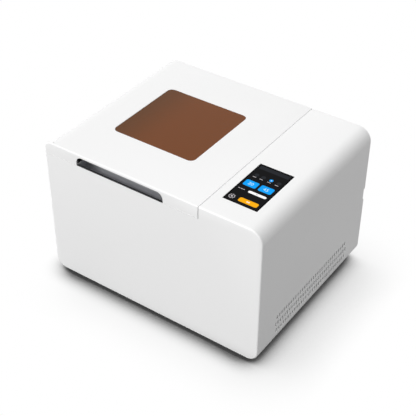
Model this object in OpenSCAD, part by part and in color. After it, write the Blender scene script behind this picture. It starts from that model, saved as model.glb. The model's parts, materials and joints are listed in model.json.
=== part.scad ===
// Tabletop light curing unit: a hinged lid with a square amber window over a lit chamber
// with a turntable, and a control section with a flush touch screen beside it.
// Millimetres. +Z is up, the front faces -Y, and the origin is on the table under the middle.

/* [Housing] */
// Overall width of the housing
body_w = 366; // [352:1:420]
// Depth of the housing, front face to rear edge
body_d = 293; // [284:1:340]
// Height of the housing above its feet
body_h = 230; // [222:1:270]
// Sheet thickness of the covers and panels
wall = 2; // [1.5:0.1:2.4]
// Radius of the top edges that run front to back
top_r = 22; // [14:1:28]
// Radius of the bottom edges that run front to back
bottom_r = 18; // [12:1:20]
// Rounding round the rim of the front panel
rim_r = 2.5; // [1.5:0.1:3]
// Width of the control section on the right
control_w = 100; // [98:1:120]
// Width of the seam between lid and control section
seam_gap = 0.9; // [0.8:0.1:2]
// Gap between the lid's skirt and the housing
skirt_gap = 0.6; // [0.6:0.1:1.2]
// How far the rear panel sits in from the covers' rear edge
rear_inset = 3; // [3:0.5:8]
// Play between sheets that lap
fit = 0.2; // [0.1:0.05:0.3]

/* [Lid] */
// Height of the lid's skirt
lid_h = 19.6; // [18:0.2:26]
// Corner radius of the lid's front flange
flange_r = 12; // [4:1:16]
// Radius of the bend between the lid's top and its front flange
bend_r = 2; // [1:0.1:2]
// Side of the square window opening
window_w = 141; // [120:1:150]
// Corner radius of the window opening
window_r = 9; // [4:1:15]
// Thickness of the amber pane
pane_t = 3; // [2:0.5:4]
// How far the pane runs under the lid's edge
pane_lap = 9; // [6:1:12]
// Left end of the finger notch, from the lid's left side
notch_left = 58.2; // [50:0.2:70]
// Width of the finger notch
notch_w = 150.4; // [120:0.2:160]
// Sheet left above the finger notch
notch_lip = 4.5; // [3.5:0.5:6]
// Radius of the notch's upper corners
notch_r = 10; // [4:1:12]

/* [Chamber] */
// Space between the lid's side and the chamber
chamber_side = 21; // [20:1:28]
// Space between the housing's front or rear and the chamber
chamber_end = 40.5; // [40:0.5:48]
// Height of the chamber floor above the housing's underside
floor_h = 54; // [52:1:70]
// Radius of the chamber's upright corners
chamber_r = 12; // [6:1:20]
// Width of the flange round the chamber mouth
mouth_flange = 12; // [10:1:13]
// Height of the deck under the lid, below the seam
deck_drop = 9; // [8:1:12]
// Length of a light board
board_l = 170; // [120:1:180]
// Height of a light board
board_h = 90; // [60:1:100]
// Light emitters along a board
leds_across = 7; // [3:1:9]
// Rows of light emitters on a board
led_rows = 4; // [2:1:5]
// Side of a light emitter's package
led_w = 5; // [3:0.5:7]
// Depth of a heat sink over its fins
sink_d = 12; // [8:0.5:13]
// Fins on a heat sink
sink_fins = 14; // [6:1:20]

/* [Turntable] */
// Diameter of the turntable plate
table_d = 196; // [150:1:200]
// Thickness of the turntable plate
table_t = 2; // [1.5:0.5:3]
// Height of the plate's underside above the chamber floor
table_lift = 14; // [10:1:20]
// Diameter of the holes in the plate
table_hole_d = 3.6; // [2.4:0.1:3.8]
// Rings of holes in the plate
table_rings = 4; // [2:1:4]
// Diameter of the turntable motor
motor_d = 50; // [40:1:56]
// Height of the turntable motor
motor_h = 19; // [15:1:24]
// Diameter of the motor's shaft
shaft_d = 7; // [5:0.5:8]

/* [Screen] */
// Width of the screen opening, side to side
screen_w = 54.2; // [50:0.2:56]
// Length of the screen opening, front to back
screen_l = 94.6; // [88:0.2:98]
// Distance from the control section's left side to the screen
screen_left = 13.6; // [12:0.2:16]
// Distance from the front face to the screen
screen_front = 34.7; // [30:0.1:45]

/* [Vents] */
// Rows of slots in the right side
vent_rows = 3; // [1:1:4]
// Slots in the lowest row
vent_count = 32; // [10:1:33]
// Distance between slots in a row
vent_pitch = 6.27; // [5.5:0.01:6.6]
// Distance between rows of slots
vent_row_pitch = 12.3; // [11:0.1:14]
// Width of a slot
vent_w = 3; // [2:0.1:3.6]
// Height of a slot
vent_h = 7.7; // [6:0.1:9]
// Height of the lowest row's middle above the housing's underside
vent_z = 24.9; // [24:0.1:30]
// Distance from the front face to the first slot of the lowest row
vent_front = 49.7; // [30:0.1:60]

/* [Cooling and power] */
// Side of a fan's frame
fan_w = 80; // [60:1:80]
// Thickness of a fan's frame
fan_t = 15; // [10:1:15]
// Blades on a fan
fan_blades = 7; // [5:1:9]
// Width of the power inlet's socket body
inlet_w = 27; // [26:0.5:30]
// Height of the power inlet's socket body
inlet_h = 19.6; // [19:0.2:22]
// Width of the mains switch
switch_w = 13; // [12:0.5:15]
// Height of the mains switch
switch_h = 19; // [18:0.5:22]
// Angle of the rocker from off to on
rocker_travel = 16; // [10:1:20]

/* [Feet] */
// Height of a foot
foot_h = 8; // [6:1:14]
// Diameter of a foot
foot_d = 22; // [16:1:24]
// Distance from the housing's side to a foot's middle
foot_side = 37; // [34:1:40]
// Distance from the housing's front or rear to a foot's middle
foot_end = 36; // [32:1:60]

/* [Hinge] */
// Radius of the hinge knuckles
knuckle_r = 3.5; // [3:0.1:4.2]
// Radius of the hinge pin
hinge_pin_r = 1.5; // [1.2:0.1:1.8]
// Length of a hinge
hinge_l = 48; // [36:1:60]
// Distance from the lid's middle to a hinge's middle
hinge_out = 83; // [60:1:95]

/* [Hidden] */
$fn = 64;
// Overlap that keeps cuts clean
eps = 0.5;

// Housing
half_w = body_w / 2;
front_y = -(body_d + knuckle_r) / 2;
rear_y = front_y + body_d;
base_z = foot_h;
top_z = foot_h + body_h;
rim_d = rim_r + 0.5;
proud = 0.03;
return_w = 60;
tongue_d = 12;
tongue_t = 1.5;
panel_y = rear_y - rear_inset;

// Seam
seam_x = half_w - control_w;
lid_x = seam_x - seam_gap / 2;
control_x = seam_x + seam_gap / 2;
seam_z = top_z - lid_h;
skirt_z = seam_z + skirt_gap / 2;
sill_z = seam_z - skirt_gap / 2;
lid_w = lid_x + half_w;
lid_cx = (lid_x - half_w) / 2;
deck_t = 1.2;
deck_z = seam_z - deck_drop;
recess_t = 1.6;
recess_y = front_y + wall + fit;
recess_end = front_y + chamber_end - mouth_flange - 1;
recess_floor = 10;
recess_r = 9;

// Chamber
liner_t = 1;
chamber_w = lid_w - 2 * chamber_side;
chamber_d = body_d - 2 * chamber_end;
chamber_cy = (front_y + rear_y) / 2;
floor_z = base_z + floor_h;
mouth_z = skirt_z + 2.2;
led_z = (floor_z + deck_z) / 2 + 4;
board_t = 1.6;
led_t = 1.4;
sink_base = 3;
sink_fin_t = 1.4;

// Lid
window_cx = lid_cx - 1.2;
window_cy = chamber_cy + 1.1;
pane_z = top_z - wall - pane_t;
pane_play = 0.25;
liner_z = mouth_z + 5.6;
seal_w = 7;
seal_gap = 0.3;
retainer_t = 2.5;
magnet_x = lid_cx + chamber_w / 2 + mouth_flange - 4;
magnet_y = chamber_cy - chamber_d / 2 - mouth_flange + 4;
notch_x = -half_w + notch_left;
notch_z = top_z - notch_lip;

// Turntable
table_z = floor_z + table_lift;
motor_z = floor_z - liner_t - 6;
running = 0.05;
hub_r = 20;

// Hinge
knuckle_l = 0.4 * hinge_l;
end_l = (hinge_l - knuckle_l) / 2 - fit;

// Screen
screen_x = control_x + screen_left;
screen_cx = screen_x + screen_w / 2;
screen_y = front_y + screen_front;
screen_cy = screen_y + screen_l / 2;
glass_t = 2.4;
glass_drop = 0.3;
module_w = 67;
module_l = 105.5;
module_t = 5;
module_z = top_z - glass_drop - glass_t - module_t;
bracket_t = 1.5;
bracket_z = module_z - bracket_t;
control_board_z = bracket_z - 14;
control_board_w = 70;
control_board_l = 102;

// Rear
bay_cx = (control_x + half_w) / 2;
exhaust_z = top_z - 90;
inlet_cx = bay_cx + 14;
switch_cx = bay_cx - 24;
power_z = base_z + 50;
inlet_screw_out = 20;
flange_t = 2;
grip_z = 105;
grip_h = 20;
rocker_r = 8.2;
rocker_half = 6.6;
rocker_depth = 2;
switch_d = 16;

// Power supply
supply_w = 97;
supply_l = 159;
supply_h = 30;
supply_x = half_w - wall - 12 - supply_w;
supply_y = front_y + 22;
driver_w = 82;
driver_l = 62;
tray_z = base_z + 2 * wall;

// Fastenings
screw_head = 1.6;
pan_r = 3.2;
pan_h = 1.8;
thread_r = 1.6;
foot_grip = 3.6;

// A slab from y0 to y1 of an outline drawn as seen from the front
module slab(y0, y1) {
  translate([0, y1, 0]) rotate([90, 0, 0]) linear_extrude(y1 - y0) children();
}

// A flat rectangle with rounded corners, centred
module round_square(w, h, r) {
  square([w, h - 2 * r], center = true);
  square([w - 2 * r, h], center = true);
  for (sx = [-1, 1], sy = [-1, 1])
    translate([sx * (w / 2 - r), sy * (h / 2 - r)]) circle(r);
}

// A slot with round ends, centred, long way along y
module slot_shape(w, h) {
  square([w, h - w], center = true);
  for (s = [-1, 1]) translate([0, s * (h - w) / 2]) circle(w / 2);
}

// A ring between two outlines with rounded corners
module frame_shape(w, h, r, band) {
  difference() {
    round_square(w, h, r);
    round_square(w - 2 * band, h - 2 * band, max(r - band, 0.5));
  }
}

// The housing seen from the front, moved in by i
module body_outline(i = 0) {
  polygon([[-half_w + bottom_r, base_z + i], [half_w - bottom_r, base_z + i],
    [half_w - i, base_z + bottom_r], [half_w - i, top_z - top_r],
    [half_w - top_r, top_z - i], [-half_w + top_r, top_z - i],
    [-half_w + i, top_z - top_r], [-half_w + i, base_z + bottom_r]]);
  for (s = [-1, 1]) {
    translate([s * (half_w - bottom_r), base_z + bottom_r]) circle(bottom_r - i);
    translate([s * (half_w - top_r), top_z - top_r]) circle(top_r - i);
  }
}

// The part of the front view that belongs to the lid, with play below and beside it
module lid_zone(z, x) {
  translate([-half_w - eps, z]) square([x + half_w + eps, body_h]);
}

// The lid seen from the front, moved in by i, with corner radius r
module lid_outline(i = 0, r = top_r, z = skirt_z) {
  intersection() {
    union() {
      translate([-half_w + i, top_z - r - lid_h]) square([lid_w - 2 * i, lid_h]);
      translate([-half_w + r, top_z - r]) square([lid_w - r - i, r - i]);
      translate([-half_w + r, top_z - r]) circle(r - i);
    }
    translate([-half_w, z]) square([lid_w, body_h]);
  }
}

// Front

// The front's solid block with its rim rounded over
module rounded_front() {
  intersection() {
    slab(front_y, front_y + rim_d) body_outline();
    union() {
      slab(front_y + rim_r, front_y + rim_d + eps) body_outline(-eps);
      slab(front_y - eps, front_y + rim_d + eps) body_outline(rim_r);
      rim_edges();
    }
  }
}

// The round bars and quarter rings along the rim, a hair proud so that the block trims them
module rim_edges() {
  for (s = [-1, 1]) translate([s * (half_w - rim_r), front_y + rim_r, base_z + bottom_r])
    cylinder(h = body_h - bottom_r - top_r, r = rim_r + proud);
  rim_bar(base_z + rim_r, bottom_r);
  rim_bar(top_z - rim_r, top_r);
  rim_ring(1, top_z - top_r, top_r, 0);
  rim_ring(-1, top_z - top_r, top_r, 90);
  rim_ring(-1, base_z + bottom_r, bottom_r, 180);
  rim_ring(1, base_z + bottom_r, bottom_r, 270);
}

module rim_bar(z, r) {
  translate([-half_w + r, front_y + rim_r, z]) rotate([0, 90, 0])
    cylinder(h = body_w - 2 * r, r = rim_r + proud);
}

module rim_ring(s, z, r, turn) {
  translate([s * (half_w - r), front_y + rim_r, z]) rotate([90, 0, 0]) rotate(turn)
    rotate_extrude(angle = 90) translate([r - rim_r, 0]) circle(rim_r + proud);
}

module front_panel() color("#f2f2f1") {
  difference() {
    rounded_front();
    slab(front_y + wall, front_y + rim_d + eps) body_outline(wall);
    slab(front_y - eps, front_y + rim_d + eps) lid_zone(sill_z, control_x);
  }
  slab(front_y + wall - eps, front_y + tongue_d) difference() {
    body_outline(wall + fit);
    body_outline(wall + fit + tongue_t);
    lid_zone(deck_z - fit, control_x + wall + fit);
  }
}

// Side covers

module cover_shape() {
  difference() {
    body_outline();
    body_outline(wall);
  }
}

module right_section() {
  intersection() {
    cover_shape();
    union() {
      translate([control_x, base_z + body_h / 2]) square([control_w, body_h]);
      translate([half_w - return_w, 0]) square([return_w + eps, base_z + body_h / 2 + eps]);
    }
  }
  translate([control_x, sill_z]) square([wall, top_z - wall / 2 - sill_z]);
}

// The slots in one side, seen from the right
module vent_pattern() {
  for (row = [0 : vent_rows - 1], i = [0 : vent_count - 1 + row % 2])
    translate([front_y + vent_front + (i - (row % 2) / 2) * vent_pitch,
      base_z + vent_z + row * vent_row_pitch])
      slot_shape(vent_w, vent_h);
}

module right_cover() color("#f2f2f1")
  difference() {
    slab(front_y + rim_d, rear_y) right_section();
    translate([screen_cx - screen_w / 2, screen_y, top_z - wall - eps])
      cube([screen_w, screen_l, wall + 2 * eps]);
    translate([half_w - wall - eps, 0, 0]) rotate([90, 0, 90]) linear_extrude(wall + 2 * eps)
      vent_pattern();
    translate([half_w - wall - eps, rear_y - rear_inset, base_z + grip_z])
      cube([wall + 2 * eps, rear_inset + eps, grip_h]);
    base_screw_holes();
  }

module left_cover() color("#f2f2f1")
  difference() {
    slab(front_y + rim_d, rear_y) intersection() {
      cover_shape();
      translate([-half_w - eps, 0]) square([return_w + eps, sill_z]);
    }
    base_screw_holes();
  }

// Rear

// Rows of slots that fill a circle
module grille_pattern(r) {
  slot = 3.2;
  pitch = 6.4;
  rows = floor((r - slot) / pitch);
  for (j = [-rows : rows], s = [-1, 1]) {
    half = sqrt(r * r - pow(abs(j) * pitch, 2));
    if (half > 8)
      translate([s * (half / 2 + 1), j * pitch]) rotate(90) slot_shape(slot, half - 2);
  }
}

module rear_outline() {
  difference() {
    body_outline(wall + fit);
    lid_zone(sill_z, control_x + wall + fit);
  }
}

function rear_screw_places() = [for (x = [-half_w + 14, lid_cx, control_x - 14, half_w - 14],
  z = [base_z + 24, sill_z - 26]) [x, z]];

function fan_screw_offsets() = [for (x = [-1, 1], z = [-1, 1]) [x, z] * (fan_w / 2 - 4.2)];

module rear_panel() color("#e4e5e6")
  difference() {
    slab(panel_y - wall, panel_y) difference() {
      rear_outline();
      translate([lid_cx, led_z]) grille_pattern(fan_w / 2 - 4);
      translate([bay_cx, exhaust_z]) grille_pattern(fan_w / 2 - 4);
      for (c = [[lid_cx, led_z], [bay_cx, exhaust_z]], p = fan_screw_offsets())
        translate(c + p) circle(2.1);
      for (p = rear_screw_places()) translate(p) circle(1.7);
      translate([inlet_cx, power_z]) round_square(inlet_w + 0.4, inlet_h + 0.4, 2);
      for (s = [-1, 1]) translate([inlet_cx + s * inlet_screw_out, power_z]) circle(1.8);
      translate([switch_cx, power_z]) square([switch_w + 0.4, switch_h + 0.4], center = true);
    }
    for (s = [-1, 1]) hinge_bar(s, knuckle_r + 0.4, hinge_l + 1);
  }

// Base

function foot_places() = [for (sx = [-1, 1], y = [front_y + foot_end, rear_y - foot_end])
  [sx * (half_w - foot_side), y]];

function base_screw_places() = [for (sx = [-1, 1], f = [0.32, 0.68])
  [sx * (half_w - foot_side - 8), front_y + f * body_d]];

module base_screw_holes() {
  for (p = concat(foot_places(), base_screw_places()))
    translate([p[0], p[1], base_z - eps]) cylinder(h = 3 * wall, r = 2.1);
}

module base_plate() color("#d9dbdc") {
  length = panel_y - wall - fit - (front_y + tongue_d + fit);
  difference() {
    translate([-half_w + foot_side - 7, front_y + tongue_d + fit, base_z + wall])
      cube([body_w - 2 * (foot_side - 7), length, wall]);
    base_screw_holes();
    for (i = [-7 : 7]) translate([lid_cx + i * 9, chamber_cy, base_z]) linear_extrude(3 * wall)
      slot_shape(4, 60);
  }
}

// Deck and recess

module inner_deck() color("#eceded") {
  x0 = -half_w + wall + fit;
  x1 = control_x + wall + fit;
  y0 = front_y + wall + fit;
  y1 = panel_y - wall - fit;
  rise = sill_z - deck_z;
  difference() {
    translate([x0, y0, deck_z]) cube([x1 - x0, y1 - y0, rise]);
    translate([x0 + deck_t, y0 + deck_t, deck_z + deck_t])
      cube([x1 - x0 - 2 * deck_t, y1 - y0 - 2 * deck_t, rise]);
    translate([lid_cx, chamber_cy, deck_z - eps]) linear_extrude(rise + 2 * eps)
      round_square(chamber_w + 2 * (liner_t + fit), chamber_d + 2 * (liner_t + fit),
        chamber_r + liner_t + fit);
    translate([notch_x - recess_t - 1 - fit, y0 - eps, deck_z - eps])
      cube([notch_w + 2 * (recess_t + 1 + fit), recess_end + fit + eps - y0, rise + 2 * eps]);
  }
  collar = liner_t + fit + deck_t;
  translate([lid_cx, chamber_cy, deck_z + deck_t / 2])
    linear_extrude(mouth_z - liner_t - deck_z - deck_t / 2)
      frame_shape(chamber_w + 2 * collar, chamber_d + 2 * collar, chamber_r + collar, deck_t);
}

// The recess seen from the side, moved in by i
module recess_shape(i, top) {
  y0 = recess_y + i;
  y1 = recess_end - i;
  r = recess_r - i;
  z0 = deck_z - recess_floor + i;
  translate([y0, z0 + r]) square([y1 - y0, top - z0 - r]);
  translate([y0 + r, z0]) square([y1 - y0 - 2 * r, r + eps]);
  for (y = [y0 + r, y1 - r]) translate([y, z0 + r]) circle(r);
}

module finger_recess() color("#3a3b3d") {
  w = notch_w + 2;
  difference() {
    translate([notch_x - 1 - recess_t, 0, 0]) rotate([90, 0, 90])
      linear_extrude(w + 2 * recess_t) recess_shape(0, sill_z);
    translate([notch_x - 1, 0, 0]) rotate([90, 0, 90])
      linear_extrude(w) recess_shape(recess_t, sill_z + eps);
  }
  translate([notch_x - 1 - recess_t, recess_end - recess_t, deck_z])
    cube([w + 2 * recess_t, recess_t, sill_z + 6 - deck_z]);
}

// Chamber

module chamber_liner() color("#c9ccd0") {
  difference() {
    translate([lid_cx, chamber_cy, 0]) {
      translate([0, 0, floor_z - liner_t]) linear_extrude(mouth_z - floor_z + liner_t)
        round_square(chamber_w + 2 * liner_t, chamber_d + 2 * liner_t, chamber_r + liner_t);
      translate([0, 0, mouth_z - liner_t]) linear_extrude(liner_t)
        round_square(chamber_w + 2 * mouth_flange, chamber_d + 2 * mouth_flange,
          chamber_r + mouth_flange);
    }
    translate([lid_cx, chamber_cy, floor_z]) linear_extrude(mouth_z - floor_z + eps)
      round_square(chamber_w, chamber_d, chamber_r);
    for (k = [0 : 3]) at_side(k) translate([0, eps, 0]) rotate([90, 0, 0])
      linear_extrude(liner_t + 2 * eps) round_square(board_l - 14, board_h - 14, 4);
    translate([lid_cx, chamber_cy, floor_z - liner_t - eps]) cylinder(h = liner_t + 2 * eps, r = 9);
  }
}

// Places things on a chamber wall: y points outwards from the wall's outer face
module at_side(k) {
  out = liner_t + (k % 2 == 0 ? chamber_d : chamber_w) / 2;
  translate([lid_cx, chamber_cy, led_z]) rotate(90 * k) translate([0, out, 0]) children();
}

module light_board(k) color("#e9efe9")
  at_side(k) translate([0, board_t / 2, 0]) cube([board_l, board_t, board_h], center = true);

module emitters(k) color("#d8c66a")
  at_side(k) for (i = [0 : leds_across - 1], j = [0 : led_rows - 1])
    translate([(i - (leds_across - 1) / 2) * (board_l - 30) / (leds_across - 1), 0,
      (j - (led_rows - 1) / 2) * (board_h - 30) / (led_rows - 1)])
      emitter();

module emitter() {
  translate([-led_w / 2, -led_t, -led_w / 2]) cube([led_w, led_t, led_w]);
  translate([0, -led_t + eps, 0]) rotate([90, 0, 0]) cylinder(h = eps + 0.5, r = led_w * 0.36);
}

module heat_sink(k) color("#a9adb1")
  at_side(k) translate([0, board_t, -board_h / 2]) linear_extrude(board_h) {
    translate([-board_l / 2, 0]) square([board_l, sink_base]);
    for (i = [0 : sink_fins - 1])
      translate([-board_l / 2 + i * (board_l - sink_fin_t) / (sink_fins - 1), 0])
        square([sink_fin_t, sink_d]);
  }

// Turntable and its motor

module motor_bracket() color("#b5b9bd") {
  leg = floor_z - liner_t - motor_z;
  depth = 26;
  reach = 30;
  foot_l = 20;
  difference() {
    translate([lid_cx, chamber_cy - depth / 2, 0]) {
      for (s = [-1, 1]) {
        translate([s * (reach + foot_l / 2) - foot_l / 2, 0, floor_z - liner_t - bracket_t])
          cube([foot_l, depth, bracket_t]);
        translate([s * (reach + bracket_t / 2) - bracket_t / 2, 0, motor_z])
          cube([bracket_t, depth, leg]);
      }
      translate([-reach - bracket_t, 0, motor_z]) cube([2 * (reach + bracket_t), depth, bracket_t]);
    }
    translate([lid_cx, chamber_cy, motor_z - eps]) cylinder(h = bracket_t + 2 * eps, r = 9);
  }
}

module turntable_motor() color("#8d9297") {
  difference() {
    union() {
      translate([lid_cx, chamber_cy, motor_z - motor_h]) cylinder(h = motor_h, d = motor_d);
      translate([lid_cx, chamber_cy, motor_z - 1.5]) cylinder(h = 3.5, r = 8);
    }
    translate([lid_cx, chamber_cy, motor_z - 8]) cylinder(h = 12, d = shaft_d + 2 * running);
  }
}

module motor_shaft() color("#c8cbce")
  translate([lid_cx, chamber_cy, motor_z - 7.5])
    cylinder(h = table_z - 1 - motor_z + 7.5, d = shaft_d);

module turntable_hub() color("#2b2c2e")
  translate([lid_cx, chamber_cy, 0]) difference() {
    rotate_extrude() polygon([[0, floor_z + 4], [10, floor_z + 4], [12, table_z - 4],
      [hub_r, table_z - 3], [hub_r, table_z], [6, table_z], [6, table_z + table_t],
      [0, table_z + table_t]]);
    translate([0, 0, floor_z]) cylinder(h = table_z - 1 - floor_z, d = shaft_d);
  }

module turntable_plate() color("#bfc4c9")
  translate([lid_cx, chamber_cy, table_z]) difference() {
    union() {
      cylinder(h = table_t, d = table_d);
      difference() {
        cylinder(h = table_t + 3, d = table_d);
        translate([0, 0, -eps]) cylinder(h = table_t + 4, d = table_d - 3);
      }
    }
    translate([0, 0, -eps]) cylinder(h = table_t + 1, r = 6 + running);
    for (ring = [1 : table_rings], i = [0 : 6 * ring - 1])
      rotate(i * 60 / ring) translate([10 + ring * (table_d / 2 - 20) / table_rings, 0, -eps])
        cylinder(h = table_t + 1, d = table_hole_d);
  }

// Lid

// The lid's block, with the front flange's own corner
module lid_block(i, z) {
  slab(front_y + i, rear_y - i) lid_outline(i, top_r, z);
}

module lid_shell() color("#f5f5f4")
  difference() {
    union() {
      lid_block(0, skirt_z);
      slab(front_y, front_y + wall) lid_outline(0, flange_r);
    }
    lid_block(wall, skirt_z - eps);
    translate([window_cx, window_cy, top_z - wall - eps]) linear_extrude(wall + 2 * eps)
      round_square(window_w, window_w, window_r);
    slab(front_y - eps, front_y + wall + eps) notch_shape();
    lid_bend();
    for (s = [-1, 1]) hinge_bar(s, knuckle_r + 0.4, hinge_l + 1);
  }

// What the bend leaves off the square corner along the top, round the left corner and down the side
module lid_bend() {
  translate([lid_x + eps, front_y + bend_r, top_z - bend_r]) rotate([90, 0, -90])
    linear_extrude(lid_w - flange_r + eps) bend_corner();
  translate([-half_w + flange_r, front_y + bend_r, top_z - flange_r]) rotate([90, 0, 0]) rotate(90)
    rotate_extrude(angle = 90) translate([flange_r - bend_r, 0]) bend_corner();
  translate([-half_w + bend_r, front_y + bend_r, skirt_z - eps]) rotate(180)
    linear_extrude(top_z - flange_r - skirt_z + eps) bend_corner();
}

module bend_corner() {
  difference() {
    square(bend_r + 1);
    circle(bend_r + proud);
  }
}

module notch_shape() {
  drop = notch_z - skirt_z;
  translate([notch_x, skirt_z - eps]) square([notch_w, drop - notch_r + eps]);
  translate([notch_x + notch_r, skirt_z]) square([notch_w - 2 * notch_r, drop]);
  for (x = [notch_x + notch_r, notch_x + notch_w - notch_r])
    translate([x, notch_z - notch_r]) circle(notch_r);
}

// The amber pane, stepped so that its middle fills the opening almost flush with the lid
module lid_window() color([0.48, 0.27, 0.12, 0.75])
  translate([window_cx, window_cy, pane_z]) {
    linear_extrude(pane_t)
      round_square(window_w + 2 * pane_lap, window_w + 2 * pane_lap, window_r + pane_lap);
    translate([0, 0, pane_t - eps]) linear_extrude(wall - glass_drop + eps)
      round_square(window_w - 2 * pane_play, window_w - 2 * pane_play, window_r - pane_play);
  }

module window_retainer() color("#26272a") {
  w = window_w + 2 * pane_lap;
  translate([window_cx, window_cy, 0]) {
    translate([0, 0, pane_z - retainer_t]) linear_extrude(retainer_t)
      frame_shape(w + 8, w + 8, window_r + pane_lap + 4, pane_lap + 4);
    translate([0, 0, pane_z - retainer_t / 2]) linear_extrude(pane_t + retainer_t / 2)
      frame_shape(w + 8, w + 8, window_r + pane_lap + 4, 3.8);
  }
}

module lid_liner() color("#d5d8db") {
  margin = 5;
  x0 = -half_w + margin + 3;
  x1 = lid_x - margin;
  y0 = recess_end + 1;
  y1 = rear_y - 7;
  h = top_z - wall - liner_z;
  difference() {
    translate([x0, y0, liner_z]) cube([x1 - x0, y1 - y0, h]);
    translate([x0 + liner_t, y0 + liner_t, liner_z + liner_t])
      cube([x1 - x0 - 2 * liner_t, y1 - y0 - 2 * liner_t, h]);
    translate([window_cx, window_cy, liner_z - eps]) linear_extrude(h)
      round_square(window_w, window_w, window_r);
    rounding_cut();
  }
}

// Keeps the liner inside the lid's rounded side
module rounding_cut() {
  translate([0, rear_y, 0]) rotate([90, 0, 0]) linear_extrude(body_d) difference() {
    translate([-half_w - 1, top_z - top_r]) square([top_r + 1, top_r + 1]);
    translate([-half_w + top_r, top_z - top_r]) circle(top_r - wall - fit);
  }
}

module lid_seal() color("#55585b")
  translate([lid_cx, chamber_cy, mouth_z + seal_gap]) {
    linear_extrude(liner_z - mouth_z - seal_gap)
      frame_shape(chamber_w + 2 * (mouth_flange - 1), chamber_d + 2 * (mouth_flange - 1),
        chamber_r + mouth_flange - 1, seal_w);
  }

module lid_magnet() color("#9fa3a7")
  translate([magnet_x, magnet_y, liner_z - 3]) cylinder(h = 3, r = 3);

module lid_switch() color("#2f3133")
  translate([magnet_x - 3.5, magnet_y - 3, deck_z + deck_t]) cube([7, 14, 6]);

// Hinge

// A bar along the hinge axis of hinge s
module hinge_bar(s, r, l, shift = 0) {
  translate([lid_cx + s * hinge_out + shift - l / 2, rear_y, seam_z]) rotate([0, 90, 0])
    cylinder(h = l, r = r);
}

module hinge_lid_leaves() color("#aeb2b6")
  for (s = [-1, 1]) difference() {
    union() {
      hinge_bar(s, knuckle_r, knuckle_l);
      translate([lid_cx + s * hinge_out - knuckle_l / 2, rear_y - wall - 2, seam_z])
        cube([knuckle_l, 2, knuckle_r + 1]);
      translate([lid_cx + s * hinge_out - hinge_l / 2, rear_y - wall - 2, seam_z + knuckle_r + 0.5])
        cube([hinge_l, 2, lid_h - wall - knuckle_r - 2]);
    }
    hinge_bar(s, hinge_pin_r + running, hinge_l + 2);
  }

module hinge_housing_leaves() color("#aeb2b6")
  for (s = [-1, 1]) difference() {
    union() {
      for (e = [-1, 1]) {
        hinge_bar(s, knuckle_r, end_l, e * (hinge_l - end_l) / 2);
        translate([lid_cx + s * hinge_out + e * (hinge_l - end_l) / 2 - end_l / 2,
          panel_y, seam_z - knuckle_r - 1]) cube([end_l, rear_inset - 1, knuckle_r + 1]);
      }
      translate([lid_cx + s * hinge_out - hinge_l / 2, panel_y, seam_z - 24])
        cube([hinge_l, rear_inset - 1, 24 - knuckle_r - 0.5]);
    }
    hinge_bar(s, hinge_pin_r + 0.02, hinge_l + 2);
  }

module hinge_pins() color("#cfd2d4")
  for (s = [-1, 1]) hinge_bar(s, hinge_pin_r, hinge_l);

// Screen

module screen_glass() color("#141416")
  translate([screen_cx - screen_w / 2 + fit / 2, screen_y + fit / 2, top_z - glass_drop - glass_t])
    cube([screen_w - fit, screen_l - fit, glass_t]);

module display_module() color("#2d3134") {
  translate([screen_cx - module_w / 2, screen_cy - module_l / 2, module_z])
    cube([module_w, module_l, module_t]);
}

module display_bracket() color("#b5b9bd") {
  w = module_w + 1;
  x0 = screen_cx - w / 2;
  y0 = screen_cy - module_l / 2;
  h = top_z - wall - bracket_z;
  difference() {
    union() {
      translate([x0 - bracket_t, y0, bracket_z]) cube([w + 2 * bracket_t, module_l, h]);
      for (y = [y0 - 8, y0 + module_l])
        translate([x0 + 10, y, bracket_z]) cube([w - 20, 8, bracket_t]);
    }
    translate([x0, y0 - eps, bracket_z + bracket_t]) cube([w, module_l + 2 * eps, h]);
    translate([x0 + 8, y0 + 12, bracket_z - eps]) cube([w - 16, module_l - 24, 3]);
  }
}

function standoff_places() = [for (sx = [-1, 1], sy = [-1, 1])
  [screen_cx + sx * (control_board_w / 2 - 4), screen_cy + sy * (control_board_l / 2 - 4)]];

function driver_places() = [for (x = [6, driver_w - 6], y = [6, driver_l - 6])
  [supply_x + 6 + x, supply_y + supply_l + 8 + y]];

module board_standoffs() color("#c9a94e") {
  for (p = standoff_places()) translate([p[0], p[1], control_board_z + board_t])
    cylinder(h = bracket_z - control_board_z - board_t, r = 2.8, $fn = 6);
  for (p = driver_places()) translate([p[0], p[1], tray_z]) cylinder(h = 8, r = 2.8, $fn = 6);
}

module control_board() color("#1f5a3a") {
  translate([screen_cx - control_board_w / 2, screen_cy - control_board_l / 2, control_board_z]) {
    cube([control_board_w, control_board_l, board_t]);
    translate([20, 30, -2]) cube([14, 14, 2 + eps]);
    translate([46, 62, -2]) cube([10, 10, 2 + eps]);
    for (i = [0 : 2]) translate([8, 18 + i * 26, -7]) cube([8, 16, 7 + eps]);
    for (i = [0 : 2]) translate([58, 20 + i * 14, -10]) cylinder(h = 10 + eps, r = 4);
  }
}

module driver_board() color("#1f5a3a")
  translate([supply_x + 6, supply_y + supply_l + 8, tray_z + 8]) {
    cube([driver_w, driver_l, board_t]);
    for (i = [0 : 3]) translate([12 + i * 18, 12, board_t - eps]) cylinder(h = 9 + eps, r = 5);
    for (i = [0 : 1]) translate([10 + i * 34, 32, board_t - eps]) cube([26, 14, 7 + eps]);
  }

// The ribbon seen from the side, in a gentle S from the board up to the display
module ribbon_cable() color("#d7d8d6") {
  z0 = control_board_z + board_t;
  rise = module_z - z0;
  sway = 14;
  thick = 0.6;
  path = [for (i = [0 : 16]) [screen_cy - sway * cos(i * 180 / 16), z0 + rise * i / 16]];
  translate([screen_cx - 12, 0, 0]) rotate([90, 0, 90]) linear_extrude(24)
    polygon(concat(path, [for (i = [16 : -1 : 0]) path[i] + [thick, 0]]));
}

// Power

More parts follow.
